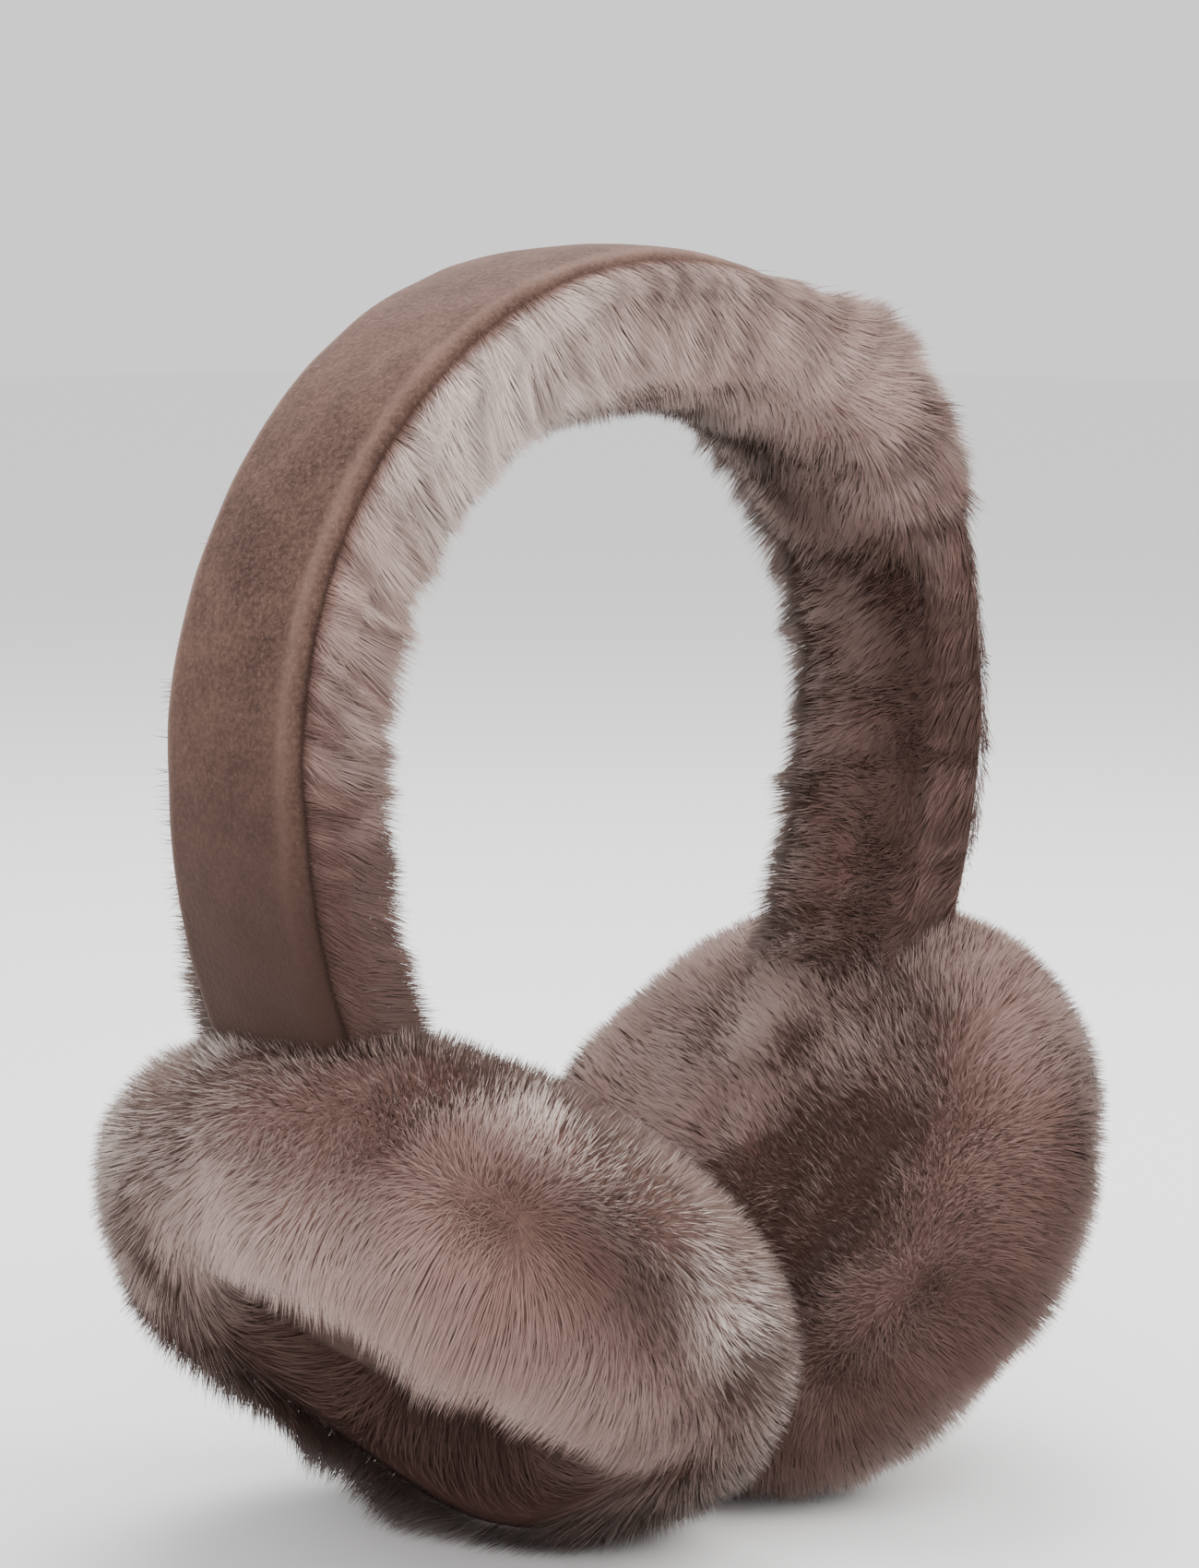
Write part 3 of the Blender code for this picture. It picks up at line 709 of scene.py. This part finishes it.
def peltMaterial():
    tree = Tree("pelt", 1.0, peltLook["sheen"])
    where = tree.node("ShaderNodeTexCoord", out="Object")
    patch = tree.noise(where, peltLook["blotches"], 3.0).between(0.3, 0.7)
    colour = tree.mix(patch, furLook["skin"], furLook["body"])
    # Painted shade, with some darker tone, from each point's share
    tree.feed("Base Color", tree.mix(tree.attribute("shadeAndTone"), colour, furLook["shadeAndTone"]))
    nap = {"Height": tree.noise(where, peltLook["nap"], 3.0), "Strength": peltLook["bump"],
           "Distance": peltLook["bumpDepth"]}
    tree.feed("Normal", tree.node("ShaderNodeBump", nap))
    return tree.material


skinMaterial = peltMaterial()


def buildBandPelt():
    u = np.linspace(0.0, 1.0, bandSkin["rows"])
    v = np.linspace(-np.pi / 2, 1.5 * np.pi, bandSkin["columns"], endpoint=False)
    u, v = np.meshgrid(u, v, indexing="ij")
    mesh = gridMesh("headband_pelt", bandPelt(u, v))
    # Painted shade on the band's pelt, on the front and on the inner face
    markPoints(mesh, "shadeAndTone", np.clip(bandShade(u, v), 0, furLook["shadeAndToneMost"]))
    turnOutward(mesh)
    addPiece("headband_pelt", mesh, skinMaterial, ("headband_fur",))


def buildCupPelt(side):
    u = np.linspace(cupSkin["hub"], 1.0, cupSkin["rows"])
    v = np.linspace(0, 2 * np.pi, cupSkin["columns"], endpoint=False)
    u, v = np.meshgrid(u, v, indexing="ij")
    points = skinFrame(cupPelt(cups[side]), cupRelief(side), u, v)[0]
    # The floor of the recess under the disc closes the pelt
    under = cupForm["halfThickness"] - cupForm["discRecess"] - cupForm["discWall"] - peltGap
    rings = []
    for share in cupSkin["floorRings"]:
        radius = (cupForm["discRadius"] + peltGap) * share
        height = np.full(v.shape[1], under + cupForm["discDome"] * (1 - share**2))
        local = np.stack([radius * np.cos(v[0]), radius * np.sin(v[0]), height], -1)
        rings.append(cupToFrame(cups[side], local))
    points = np.concatenate([points, np.array(rings)])
    points[..., 2] = np.maximum(points[..., 2], floorGap)
    mesh = gridMesh(side + "_cup_pelt", points)
    # Painted shade over the cup's pelt: a base share and the cup's shaded places
    shadeAndTone = cupSkin["shadeAndTone"] + cupLightAndShade(side, u, v, "shadeAndTone")
    markPoints(mesh, "shadeAndTone", np.clip(shadeAndTone, 0, furLook["shadeAndToneMost"]))
    turnOutward(mesh)
    item = addPiece(side + "_cup_pelt", mesh, skinMaterial, (side + "_cup_fur",))


buildBandPelt()
for side in cups:
    buildCupPelt(side)
print("pelts built")

# Hair

# Body and tip range are shares of a hair's length over which that colour comes in. Own shares are
# what makes a hair differ from the next: chance, its tuft and its small tuft.
hairLook = {
    "roughness": 0.85, "sheen": {"weight": 0.42, "roughness": 0.40, "tint": (0.95, 0.83, 0.78)},
    "bodyRange": (0.0, 0.55), "tipRange": (0.05, 0.70), "ownBody": 0.30,
    "lengths": (0.70, 1.10), "tuftLengths": (0.94, 0.12), "widths": (0.75, 1.25),
    "onFloor": 0.0006, "ownShares": (0.60, 0.25, 0.15), "perPiece": 75000, "shuffle": 5,
}


def hairMaterial():
    tree = Tree("fur", hairLook["roughness"], hairLook["sheen"])
    along, own = tree.attribute("along"), tree.attribute("own")
    pale, shadeAndTone = tree.attribute("pale"), tree.attribute("shadeAndTone")
    body = along.between(*hairLook["bodyRange"])
    colour = tree.mix(body, furLook["root"], furLook["body"])
    tip = along.between(*hairLook["tipRange"])
    # Pale tips by the pale share, which is partly painted light
    colour = tree.mix(tip * pale, colour, furLook["tip"])
    colour = tree.mix(own * hairLook["ownBody"], colour, furLook["body"])
    # Painted shade, with some darker tone per hair and at random
    colour = tree.mix(shadeAndTone, colour, furLook["shadeAndTone"])
    tree.feed("Base Color", colour)
    return tree.material


furMaterial = hairMaterial()


def hairMesh(name, hair, tones):
    # Each hair is a slim leaf of two triangles: a root, two points at its widest, and a tip
    hairs = len(hair["root"])
    half = hair["side"] * hair["width"][:, None] / 2
    verts = np.stack([hair["root"], hair["middle"] - half, hair["middle"] + half, hair["tip"]], 1)
    first = np.arange(hairs)[:, None] * 4
    loops = (first + np.array([0, 2, 1, 1, 2, 3])[None, :]).ravel().astype(np.int32)
    mesh = bpy.data.meshes.new(name)
    mesh.vertices.add(hairs * 4)
    mesh.loops.add(len(loops))
    mesh.polygons.add(hairs * 2)
    mesh.vertices.foreach_set("co", verts.astype(np.float32).ravel())
    mesh.loops.foreach_set("vertex_index", loops)
    mesh.polygons.foreach_set("loop_start", np.arange(hairs * 2, dtype=np.int32) * 3)
    mesh.polygons.foreach_set("loop_total", np.full(hairs * 2, 3, np.int32))
    mesh.update(calc_edges=True)
    shares = np.array([0.0, 0.5, 0.5, 1.0])
    values = {"along": np.tile(shares, (hairs, 1))}
    for key, tone in tones.items():
        values[key] = np.repeat(tone[:, None], 4, 1)
    for key, value in values.items():
        markPoints(mesh, key, value)
    # Each hair has its own cell in the map, a square of a grid, with its root at the bottom
    cells = int(np.ceil(np.sqrt(hairs)))
    column, row = np.arange(hairs) % cells, np.arange(hairs) // cells
    mapU = (column[:, None] + np.array([0.5, 0.1, 0.9, 0.5])) / cells
    mapV = (row[:, None] + 0.08 + 0.84 * shares) / cells
    layer = mesh.uv_layers.new(name="OFBake")
    uv = np.stack([mapU, mapV], -1).reshape(-1, 2)
    layer.data.foreach_set("uv", uv[loops].astype(np.float32).ravel())
    mesh.shade_smooth()
    mesh.normals_split_custom_set_from_vertices(np.repeat(hair["shading"], 4, 0))
    return mesh


strewing = ((0.7548776662466927, 0.137), (0.5698402909980532, 0.291))


def strewn(count, salt):
    # Points that fill a square evenly: steps by two irrational shares, shifted by the salt
    number = np.arange(count) + 0.5
    first, second = (number * step + salt * shift for step, shift in strewing)
    return first % 1, second % 1


def evenly(values, weights, at):
    # Reads a running total backwards, so that even shares come out spread by weight
    total = np.cumsum(weights)
    return np.interp(at, total / total[-1], values)


meeting = {"gap": 0.0002}
lowRims = [cupToFrame(cups[side], np.array([cupForm["rimRadius"], 0.0, 0.0])) for side in cups]
meeting["place"] = (lowRims[0] + lowRims[1]) / 2
meeting["way"] = unit(lowRims[1] - lowRims[0])


def growHair(skin, comb, length, form, side=0):
    # A hair leaves the skin between its normal and its comb direction, turned by soft noise and
    # by chance. Its middle and its tip bend on with the comb, hang, and close up into tufts.
    place, normal = skin
    place[..., 2] = np.maximum(place[..., 2], floorGap)
    hairs = len(place)
    luck = np.random.default_rng(form["seed"])
    way = normal * form["stand"] + comb
    way = way + form["swirl"] * softVectors(place, form["swirlSize"], form["seed"] + 10)
    way = unit(way + form["stray"] * luck.normal(size=(hairs, 3)))
    into = np.sum(way * normal, -1)
    way = unit(way + normal * np.maximum(form["least"] - into, 0)[:, None])
    centre, tuftOwn = nearestTuft(place, form["tuft"], form["seed"] + 20)
    small, smallOwn = nearestTuft(place, form["tuft"] * form["smallTuft"], form["seed"] + 30)
    least, more = hairLook["tuftLengths"]
    length = length * luck.uniform(*hairLook["lengths"], hairs) * (least + more * tuftOwn)
    gather = np.zeros_like(place)
    for heart, share in ((centre, form["gather"]), (small, form["gatherSmall"])):
        away = heart - place
        gather = gather + share * (away - way * np.sum(away * way, -1)[:, None])
    lean = form["bend"] * comb + np.array([0.0, 0.0, -form["weight"]])
    ends = []
    for share in (0.5, 1.0):
        point = place + way * (length * share)[:, None]
        ends.append(point + (lean * length[:, None] + gather) * share**2)
    for point in ends:
        rest = floorGap + hairLook["onFloor"] * luck.uniform(0, 1, hairs)
        point[..., 2] = np.maximum(point[..., 2], rest)
        if side:
            past = np.sum((point - meeting["place"]) * meeting["way"], -1) * -side + meeting["gap"]
            point += meeting["way"] * (np.maximum(past, 0) * side)[..., None]
    direction = unit(ends[1] - place)
    facing = normal + form["twist"] * luck.normal(size=(hairs, 3))
    hair = {"root": place, "middle": ends[0], "tip": ends[1]}
    hair["side"] = unit(np.cross(direction, facing))
    hair["width"] = form["width"] * luck.uniform(*hairLook["widths"], hairs)
    hair["shading"] = unit(normal * (1 - form["round"]) + direction * form["round"])
    chance, byTuft, bySmall = hairLook["ownShares"]
    own = chance * luck.uniform(0, 1, hairs) + byTuft * tuftOwn + bySmall * smallOwn
    return hair, own


def writeHair(name, hair, own, pale, shadeAndTone):
    # Hairs are dealt out at random to pieces of a like size
    shadeAndTone = np.clip(shadeAndTone, 0, furLook["shadeAndToneMost"])
    tones = {"own": own, "pale": np.clip(pale, 0, 1), "shadeAndTone": shadeAndTone}
    order = np.random.default_rng(hairLook["shuffle"]).permutation(len(own))
    parts = int(np.ceil(len(own) / hairLook["perPiece"]))
    for number, chosen in enumerate(np.array_split(order, parts), 1):
        label = f"{name}_{number}"
        picked = {key: value[chosen] for key, value in hair.items()}
        mesh = hairMesh(label, picked, {key: value[chosen] for key, value in tones.items()})
        addPiece(label, mesh, furMaterial)


# Stand, comb, swirl and stray set a hair's way off the skin, and least is how far it stays off it.
# Weight, bend and gather curve it, twist turns its leaf, and round turns its shading from the
# skin's normal to its own way. Comb, longer and tone hold what each zone adds. A pair is the
# strength and the size of a soft noise.
cupHair = {
    "count": 135000, "length": 0.0068, "width": 0.00019, "stand": 1.0, "least": 0.30,
    "swirl": 0.42, "swirlSize": 0.011, "stray": 0.13, "tuft": 0.0055, "smallTuft": 0.33,
    "gather": 0.03, "gatherSmall": 0.09, "weight": 0.05, "bend": 0.20, "twist": 0.25,
    "round": 0.08, "reach": (0.004, 0.985),
    "comb": {"face": 0.24, "roll": 0.16, "hang": 0.8, "under": 0.9, "drop": 0.25},
    "longer": {"hang": 1.1, "under": 1.3, "face": 0.12, "disc": 0.25, "band": 0.25,
               "uneven": (0.14, 0.011)},
    "tone": {"pale": 0.16, "patch": (0.10, 0.016), "fine": (0.06, 0.005),
             "shadeAndTone": (0.10, 0.022), "own": 0.30},
}
# Where the zones of a cup lie: over is the share of the way over the rim from the ear side to the
# disc, and turn and spread are in degrees about the axis
cupZones = {
    "hang": {"over": (0.72, 0.95), "turn": {"left": 134.0, "right": -134.0}, "spread": 43},
    "under": {"over": (0.72, 0.98), "turn": {"left": -25.0, "right": 25.0}, "spread": 75},
    "roll": (0.4, 1.0), "face": (0.0, 0.12), "disc": (0.90, 1.0), "high": (0.35, 0.6),
    "bandFrom": (0.0, 0.2), "bandTo": (0.75, 0.95), "bandWidth": 0.020,
}
bandHair = {
    "count": 130000, "length": 0.0076, "width": 0.00019, "stand": 0.70, "least": 0.20,
    "swirl": 0.40, "swirlSize": 0.010, "stray": 0.11, "tuft": 0.0055, "smallTuft": 0.33,
    "gather": 0.06, "gatherSmall": 0.14, "weight": 0.05, "bend": 0.35, "twist": 0.25,
    "round": 0.10, "seed": 41, "margin": 0.03,
    "comb": {"face": 0.10, "side": 1.05, "rising": 0.95, "wave": 0.28, "down": 0.75,
             "faceSway": 0.2, "sideSway": 0.8, "ahead": 0.35},
    "longer": {"face": 0.76, "side": 0.34, "rising": 0.20, "uneven": (0.12, 0.008)},
    # In the tone, crest adds a painted highlight on the lock crests, the gaps between locks get
    # painted shade, and lip is painted shade along the seam
    "tone": {"pale": 0.12, "back": 0.20, "patch": (0.10, 0.012), "crest": 0.16,
             "crestMiddle": 0.6, "own": 0.45, "shadeAndTone": (0.08, 0.020), "valley": 0.45,
             "fine": (0.35, 0.0045), "lip": 0.35},
}
# Where the zones of the band's fur lie, in radians round the section from the nearer lip
bandZones = {"side": (0.42, 0.85), "combed": (0.08, 0.40), "rising": (0.15, 1.25),
             "lip": (0.10, 0.35)}
# Along and down are shares of the band's length: the first and the span of where hair grows, and
# where the comb turns over to the other limb
bandReach = {"along": (0.004, 0.992), "down": (0.36, 0.46)}
fringeHair = {
    **bandHair, "count": 26000, "length": 0.0105, "stand": 0.50, "swirl": 0.35,
    "swirlSize": 0.014, "stray": 0.12, "seed": 43, "across": 0.0176, "spread": 0.0030,
    "depth": 0.0022, "raise": 0.8, "backWrap": 0.25, "cover": 0.55, "coverEnd": (0.70, 0.76),
    "backCover": 3, "lean": 0.4,
    "comb": {**bandHair["comb"], "flat": 0.75, "rising": 1.7, "back": 0.25, "sideways": 0.15,
             "wave": 0.20},
    "longer": {"front": 0.55, "rising": 0.40, "back": 0.65, "limb": 0.40,
               "limbRange": (0.72, 0.80), "uneven": (0.2, 0.012)},
    "tone": {**bandHair["tone"], "back": 1.0, "rising": 0.07},
}
# How strongly a hair's own share counts in how pale the band's hair is
ownPale = {"least": 0.45, "more": 1.1, "fine": (0.10, 0.0035)}


def cupZone(name, side, over, v):
    # Far enough over the rim, and fading with the square of the turn from the zone's middle
    zone = cupZones[name]
    gap = turnGap(v, zone["turn"][side]) / zone["spread"]
    return smoothStep(*zone["over"], over) * np.exp(-(gap**2))


def cupFur(side):
    # Hair over a cup, combed towards the disc, longer where it hangs over the disc and under it
    cup, zones = cups[side], cupZones
    comb, longer, tone = cupHair["comb"], cupHair["longer"], cupHair["tone"]
    first, second = strewn(cupHair["count"], cup["seed"])
    grid = np.linspace(*cupHair["reach"], 400)
    u = evenly(grid, cupOutline(grid)[0], first)
    v = second * 2 * np.pi
    place, alongU, normal = skinFrame(cupPelt(cup), cupRelief(side), u, v)
    over = cupOutline(u)[2]
    upper = (1 - np.cos(v)) / 2
    hang = cupZone("hang", side, over, v)
    under = cupZone("under", side, over, v)
    onFace = 1 - smoothStep(*zones["face"], over)
    nearDisc = smoothStep(*zones["disc"], over) * (1 - smoothStep(*zones["high"], upper))
    nearDisc = nearDisc * (1 - under)
    outward = comb["face"] + comb["roll"] * smoothStep(*zones["roll"], over)
    outward = outward + comb["hang"] * hang + comb["under"] * under
    way = alongU * outward[:, None]
    way = way + np.array([0.0, 0.0, -1.0]) * (comb["drop"] * hang)[:, None]
    for dent in dents:
        if dent["side"] == side:
            away = -towardsDent(dent, v, place)
            gap = np.linalg.norm(away, axis=-1)
            fan = dent["fan"] * np.exp(-((gap / (2 * dent["width"])) ** 2))
            way = way + unit(away) * fan[:, None]
    share = 1 + longer["hang"] * hang + longer["under"] * under
    share = share - longer["face"] * onFace - longer["disc"] * nearDisc
    length = cupHair["length"] * share
    length = length * (1 + mottle(place, longer["uneven"], cup["seed"] + 60))
    fromBand = (v - np.pi) * cupForm["rimRadius"] / zones["bandWidth"]
    onRim = smoothStep(*zones["bandFrom"], over) * (1 - smoothStep(*zones["bandTo"], over))
    atBand = np.exp(-(fromBand**2)) * onRim
    length = length * (1 - longer["band"] * atBand)
    form = {**cupHair, "seed": cup["seed"]}
    hair, own = growHair((place, normal), way, length, form, cup["side"])
    # Pale tips with painted light on the lit rims, and painted shade underneath and in hollows;
    # mottle and the own share add tone at random
    pale = tone["pale"] + mottle(place, tone["patch"], cup["seed"] + 50)
    pale = pale + mottle(place, tone["fine"], cup["seed"] + 51) + cupLightAndShade(side, u, v, "pale")
    shadeAndTone = cupSkin["shadeAndTone"] + mottle(place, tone["shadeAndTone"], cup["seed"] + 52)
    shadeAndTone = shadeAndTone + cupLightAndShade(side, u, v, "shadeAndTone") + tone["own"] * (own - 0.5)
    writeHair(side + "_cup_hair", hair, own, pale, shadeAndTone)
    return len(place)


def lockWave(place, u):
    # Waves along the band, a lock apart, that wander with soft noise, and how near their crests are
    drift = mottle(place, bandSkin["lockDrift"], 61)
    wave = np.sin(2 * np.pi * (u * bandLengths()[2] / bandSkin["lockPitch"] + drift))
    return wave, np.cos(np.arcsin(np.clip(wave, -1, 1)))


def alongReach(first):
    start, span = bandReach["along"]
    return start + span * first


def towardsFoot(u):
    # Half of the comb towards each foot of the band: below 0 on the left limb, above 0 on the right
    return smoothStep(*bandReach["down"], u) - 0.5


def paleByOwn(pale, own, place):
    # Sets each hair off from its neighbours, with fine mottling
    pale = pale * (ownPale["least"] + ownPale["more"] * own)
    return pale + mottle(place, ownPale["fine"], 57)


def bandFur():
    # Hair over the band's inner face and its sides, combed inward and down to the feet, and rising
    # where the band is fluffy
    zones = bandZones
    comb, longer, tone = bandHair["comb"], bandHair["longer"], bandHair["tone"]
    first, second = strewn(bandHair["count"], 3)
    u = alongReach(first)
    grid = np.linspace(bandHair["margin"], np.pi - bandHair["margin"], 300)
    section = bandPelt(np.full(len(grid), 0.3), grid)
    v = evenly(grid, np.linalg.norm(np.gradient(section, axis=0), axis=-1), second)
    place, alongU, normal = skinFrame(bandPelt, bandRelief, u, v)
    out = bandPath(u * bandLengths()[2])[1]
    fromLip = np.minimum(v, np.pi - v)
    onSide = 1 - smoothStep(*zones["side"], fromLip)
    combed = onSide * smoothStep(*zones["combed"], fromLip)
    inFront, atBack = frontAndBack(v)
    wave, crest = lockWave(place, u)
    rising = bandFluff(u, v) * (1 - smoothStep(*zones["rising"], fromLip))
    way = -out * (comb["face"] + comb["side"] * combed)[:, None] * (1 - rising)[:, None]
    way = way + out * (comb["rising"] * rising)[:, None]
    sway = comb["wave"] * wave + comb["down"] * towardsFoot(u)
    sway = sway * (comb["faceSway"] + comb["sideSway"] * onSide)
    way = way + alongU * (sway + comb["ahead"] * rising)[:, None]
    share = longer["face"] + longer["side"] * onSide + longer["rising"] * rising
    length = bandHair["length"] * share
    length = length * (1 + mottle(place, longer["uneven"], 58))
    hair, own = growHair((place, normal), way, length, bandHair)
    # Pale tips, partly painted light: the table's pale share is highest on the lit crown and front
    pale = (bandCurve("pale", u) - tone["pale"]) * inFront
    pale = tone["pale"] + pale + tone["back"] * atBack
    pale = pale + mottle(place, tone["patch"], 55)
    # Painted highlight on the lock crests
    pale = pale + tone["crest"] * (crest - tone["crestMiddle"]) * onSide
    pale = paleByOwn(pale, own, place)
    # Painted shade on the front and inner face, with darker tone per hair and at random
    shadeAndTone = bandShade(u, v) + tone["own"] * (own - 0.5)
    # Painted shade in the gaps between locks
    shadeAndTone = shadeAndTone + mottle(place, tone["shadeAndTone"], 56) + tone["valley"] * (1 - crest) * onSide
    shadeAndTone = shadeAndTone + mottle(place, tone["fine"], 59) * onSide
    # Painted shade along the lip, where the fur meets the suede
    shadeAndTone = shadeAndTone + tone["lip"] * (1 - smoothStep(*zones["lip"], fromLip))
    writeHair("headband_hair", hair, own, pale, shadeAndTone)
    return len(place)


def fringeFur():
    # The fur at the seam: along the front it leaves the pelt's edge and hides it, and where the
    # band is fluffy it stands up past the suede. Two hairs of three are for the front.
    form = fringeHair
    comb, longer, tone = form["comb"], form["longer"], form["tone"]
    first, second = strewn(form["count"] * 3, 9)
    number = np.arange(len(first))
    edge = np.where(number % 3 > 0, -1.0, 1.0)
    fluff = bandFluff(first, np.where(edge < 0, 0.0, np.pi))
    plain = form["cover"] * (1 - smoothStep(*form["coverEnd"], first))
    cover = np.where(edge < 0, np.maximum(plain, fluff), form["backCover"] * fluff)
    keep = shareOf(np.stack([number] * 3, -1), 9) < cover
    first, second, edge, fluff = (row[keep] for row in (first, second, edge, fluff))
    front = edge < 0
    along = alongReach(first) * bandLengths()[2]
    wrap = np.where(front, bandCurve("wrap", first), form["backWrap"])
    seam = band["sideDepth"] * (1 - wrap)
    depth = seam + (form["depth"] - form["raise"] * fluff * seam) * second
    across = edge * (form["across"] + form["spread"] * second * fluff)
    place = onBand(along, across, depth)
    path, out = bandPath(along)
    ahead = unit(bandPath(along + 0.001)[0] - path)
    sideways = np.stack([0 * edge, edge, 0 * edge], -1)
    wave, crest = lockWave(place, first)
    sway = comb["wave"] * wave + comb["down"] * towardsFoot(first)
    sway = np.where(front, sway, 0.0) + comb["ahead"] * fluff
    rise = np.where(front, comb["rising"] * fluff - comb["flat"], comb["back"])
    way = out * rise[:, None] + sideways * comb["sideways"] + ahead * sway[:, None]
    share = np.where(front, longer["front"] + longer["rising"] * fluff, longer["back"])
    length = form["length"] * share
    length = length * (1 - longer["limb"] * smoothStep(*longer["limbRange"], first))
    length = length * (1 + mottle(place, longer["uneven"], 71))
    normal = unit(sideways + form["lean"] * out)
    hair, own = growHair((place, normal), way, length, form)
    # Pale tips, partly painted light, as on the band
    pale = bandCurve("pale", first) + tone["rising"] * fluff
    pale = np.where(front, pale, tone["back"]) + mottle(place, tone["patch"], 72)
    pale = paleByOwn(pale, own, place)
    # Painted shade from the band's table and in the gaps between locks
    shadeAndTone = bandCurve("shadeAndTone", first) + tone["valley"] * (1 - crest)
    shadeAndTone = shadeAndTone + mottle(place, tone["fine"], 59)
    shadeAndTone = shadeAndTone + tone["own"] * (own - 0.5)
    writeHair("headband_fringe", hair, own, pale, np.where(front, shadeAndTone, 0.0))
    return len(place)


hairCount = {side: cupFur(side) for side in cups}
hairCount["band"] = bandFur()
hairCount["fringe"] = fringeFur()
print("hairs grown:", hairCount)
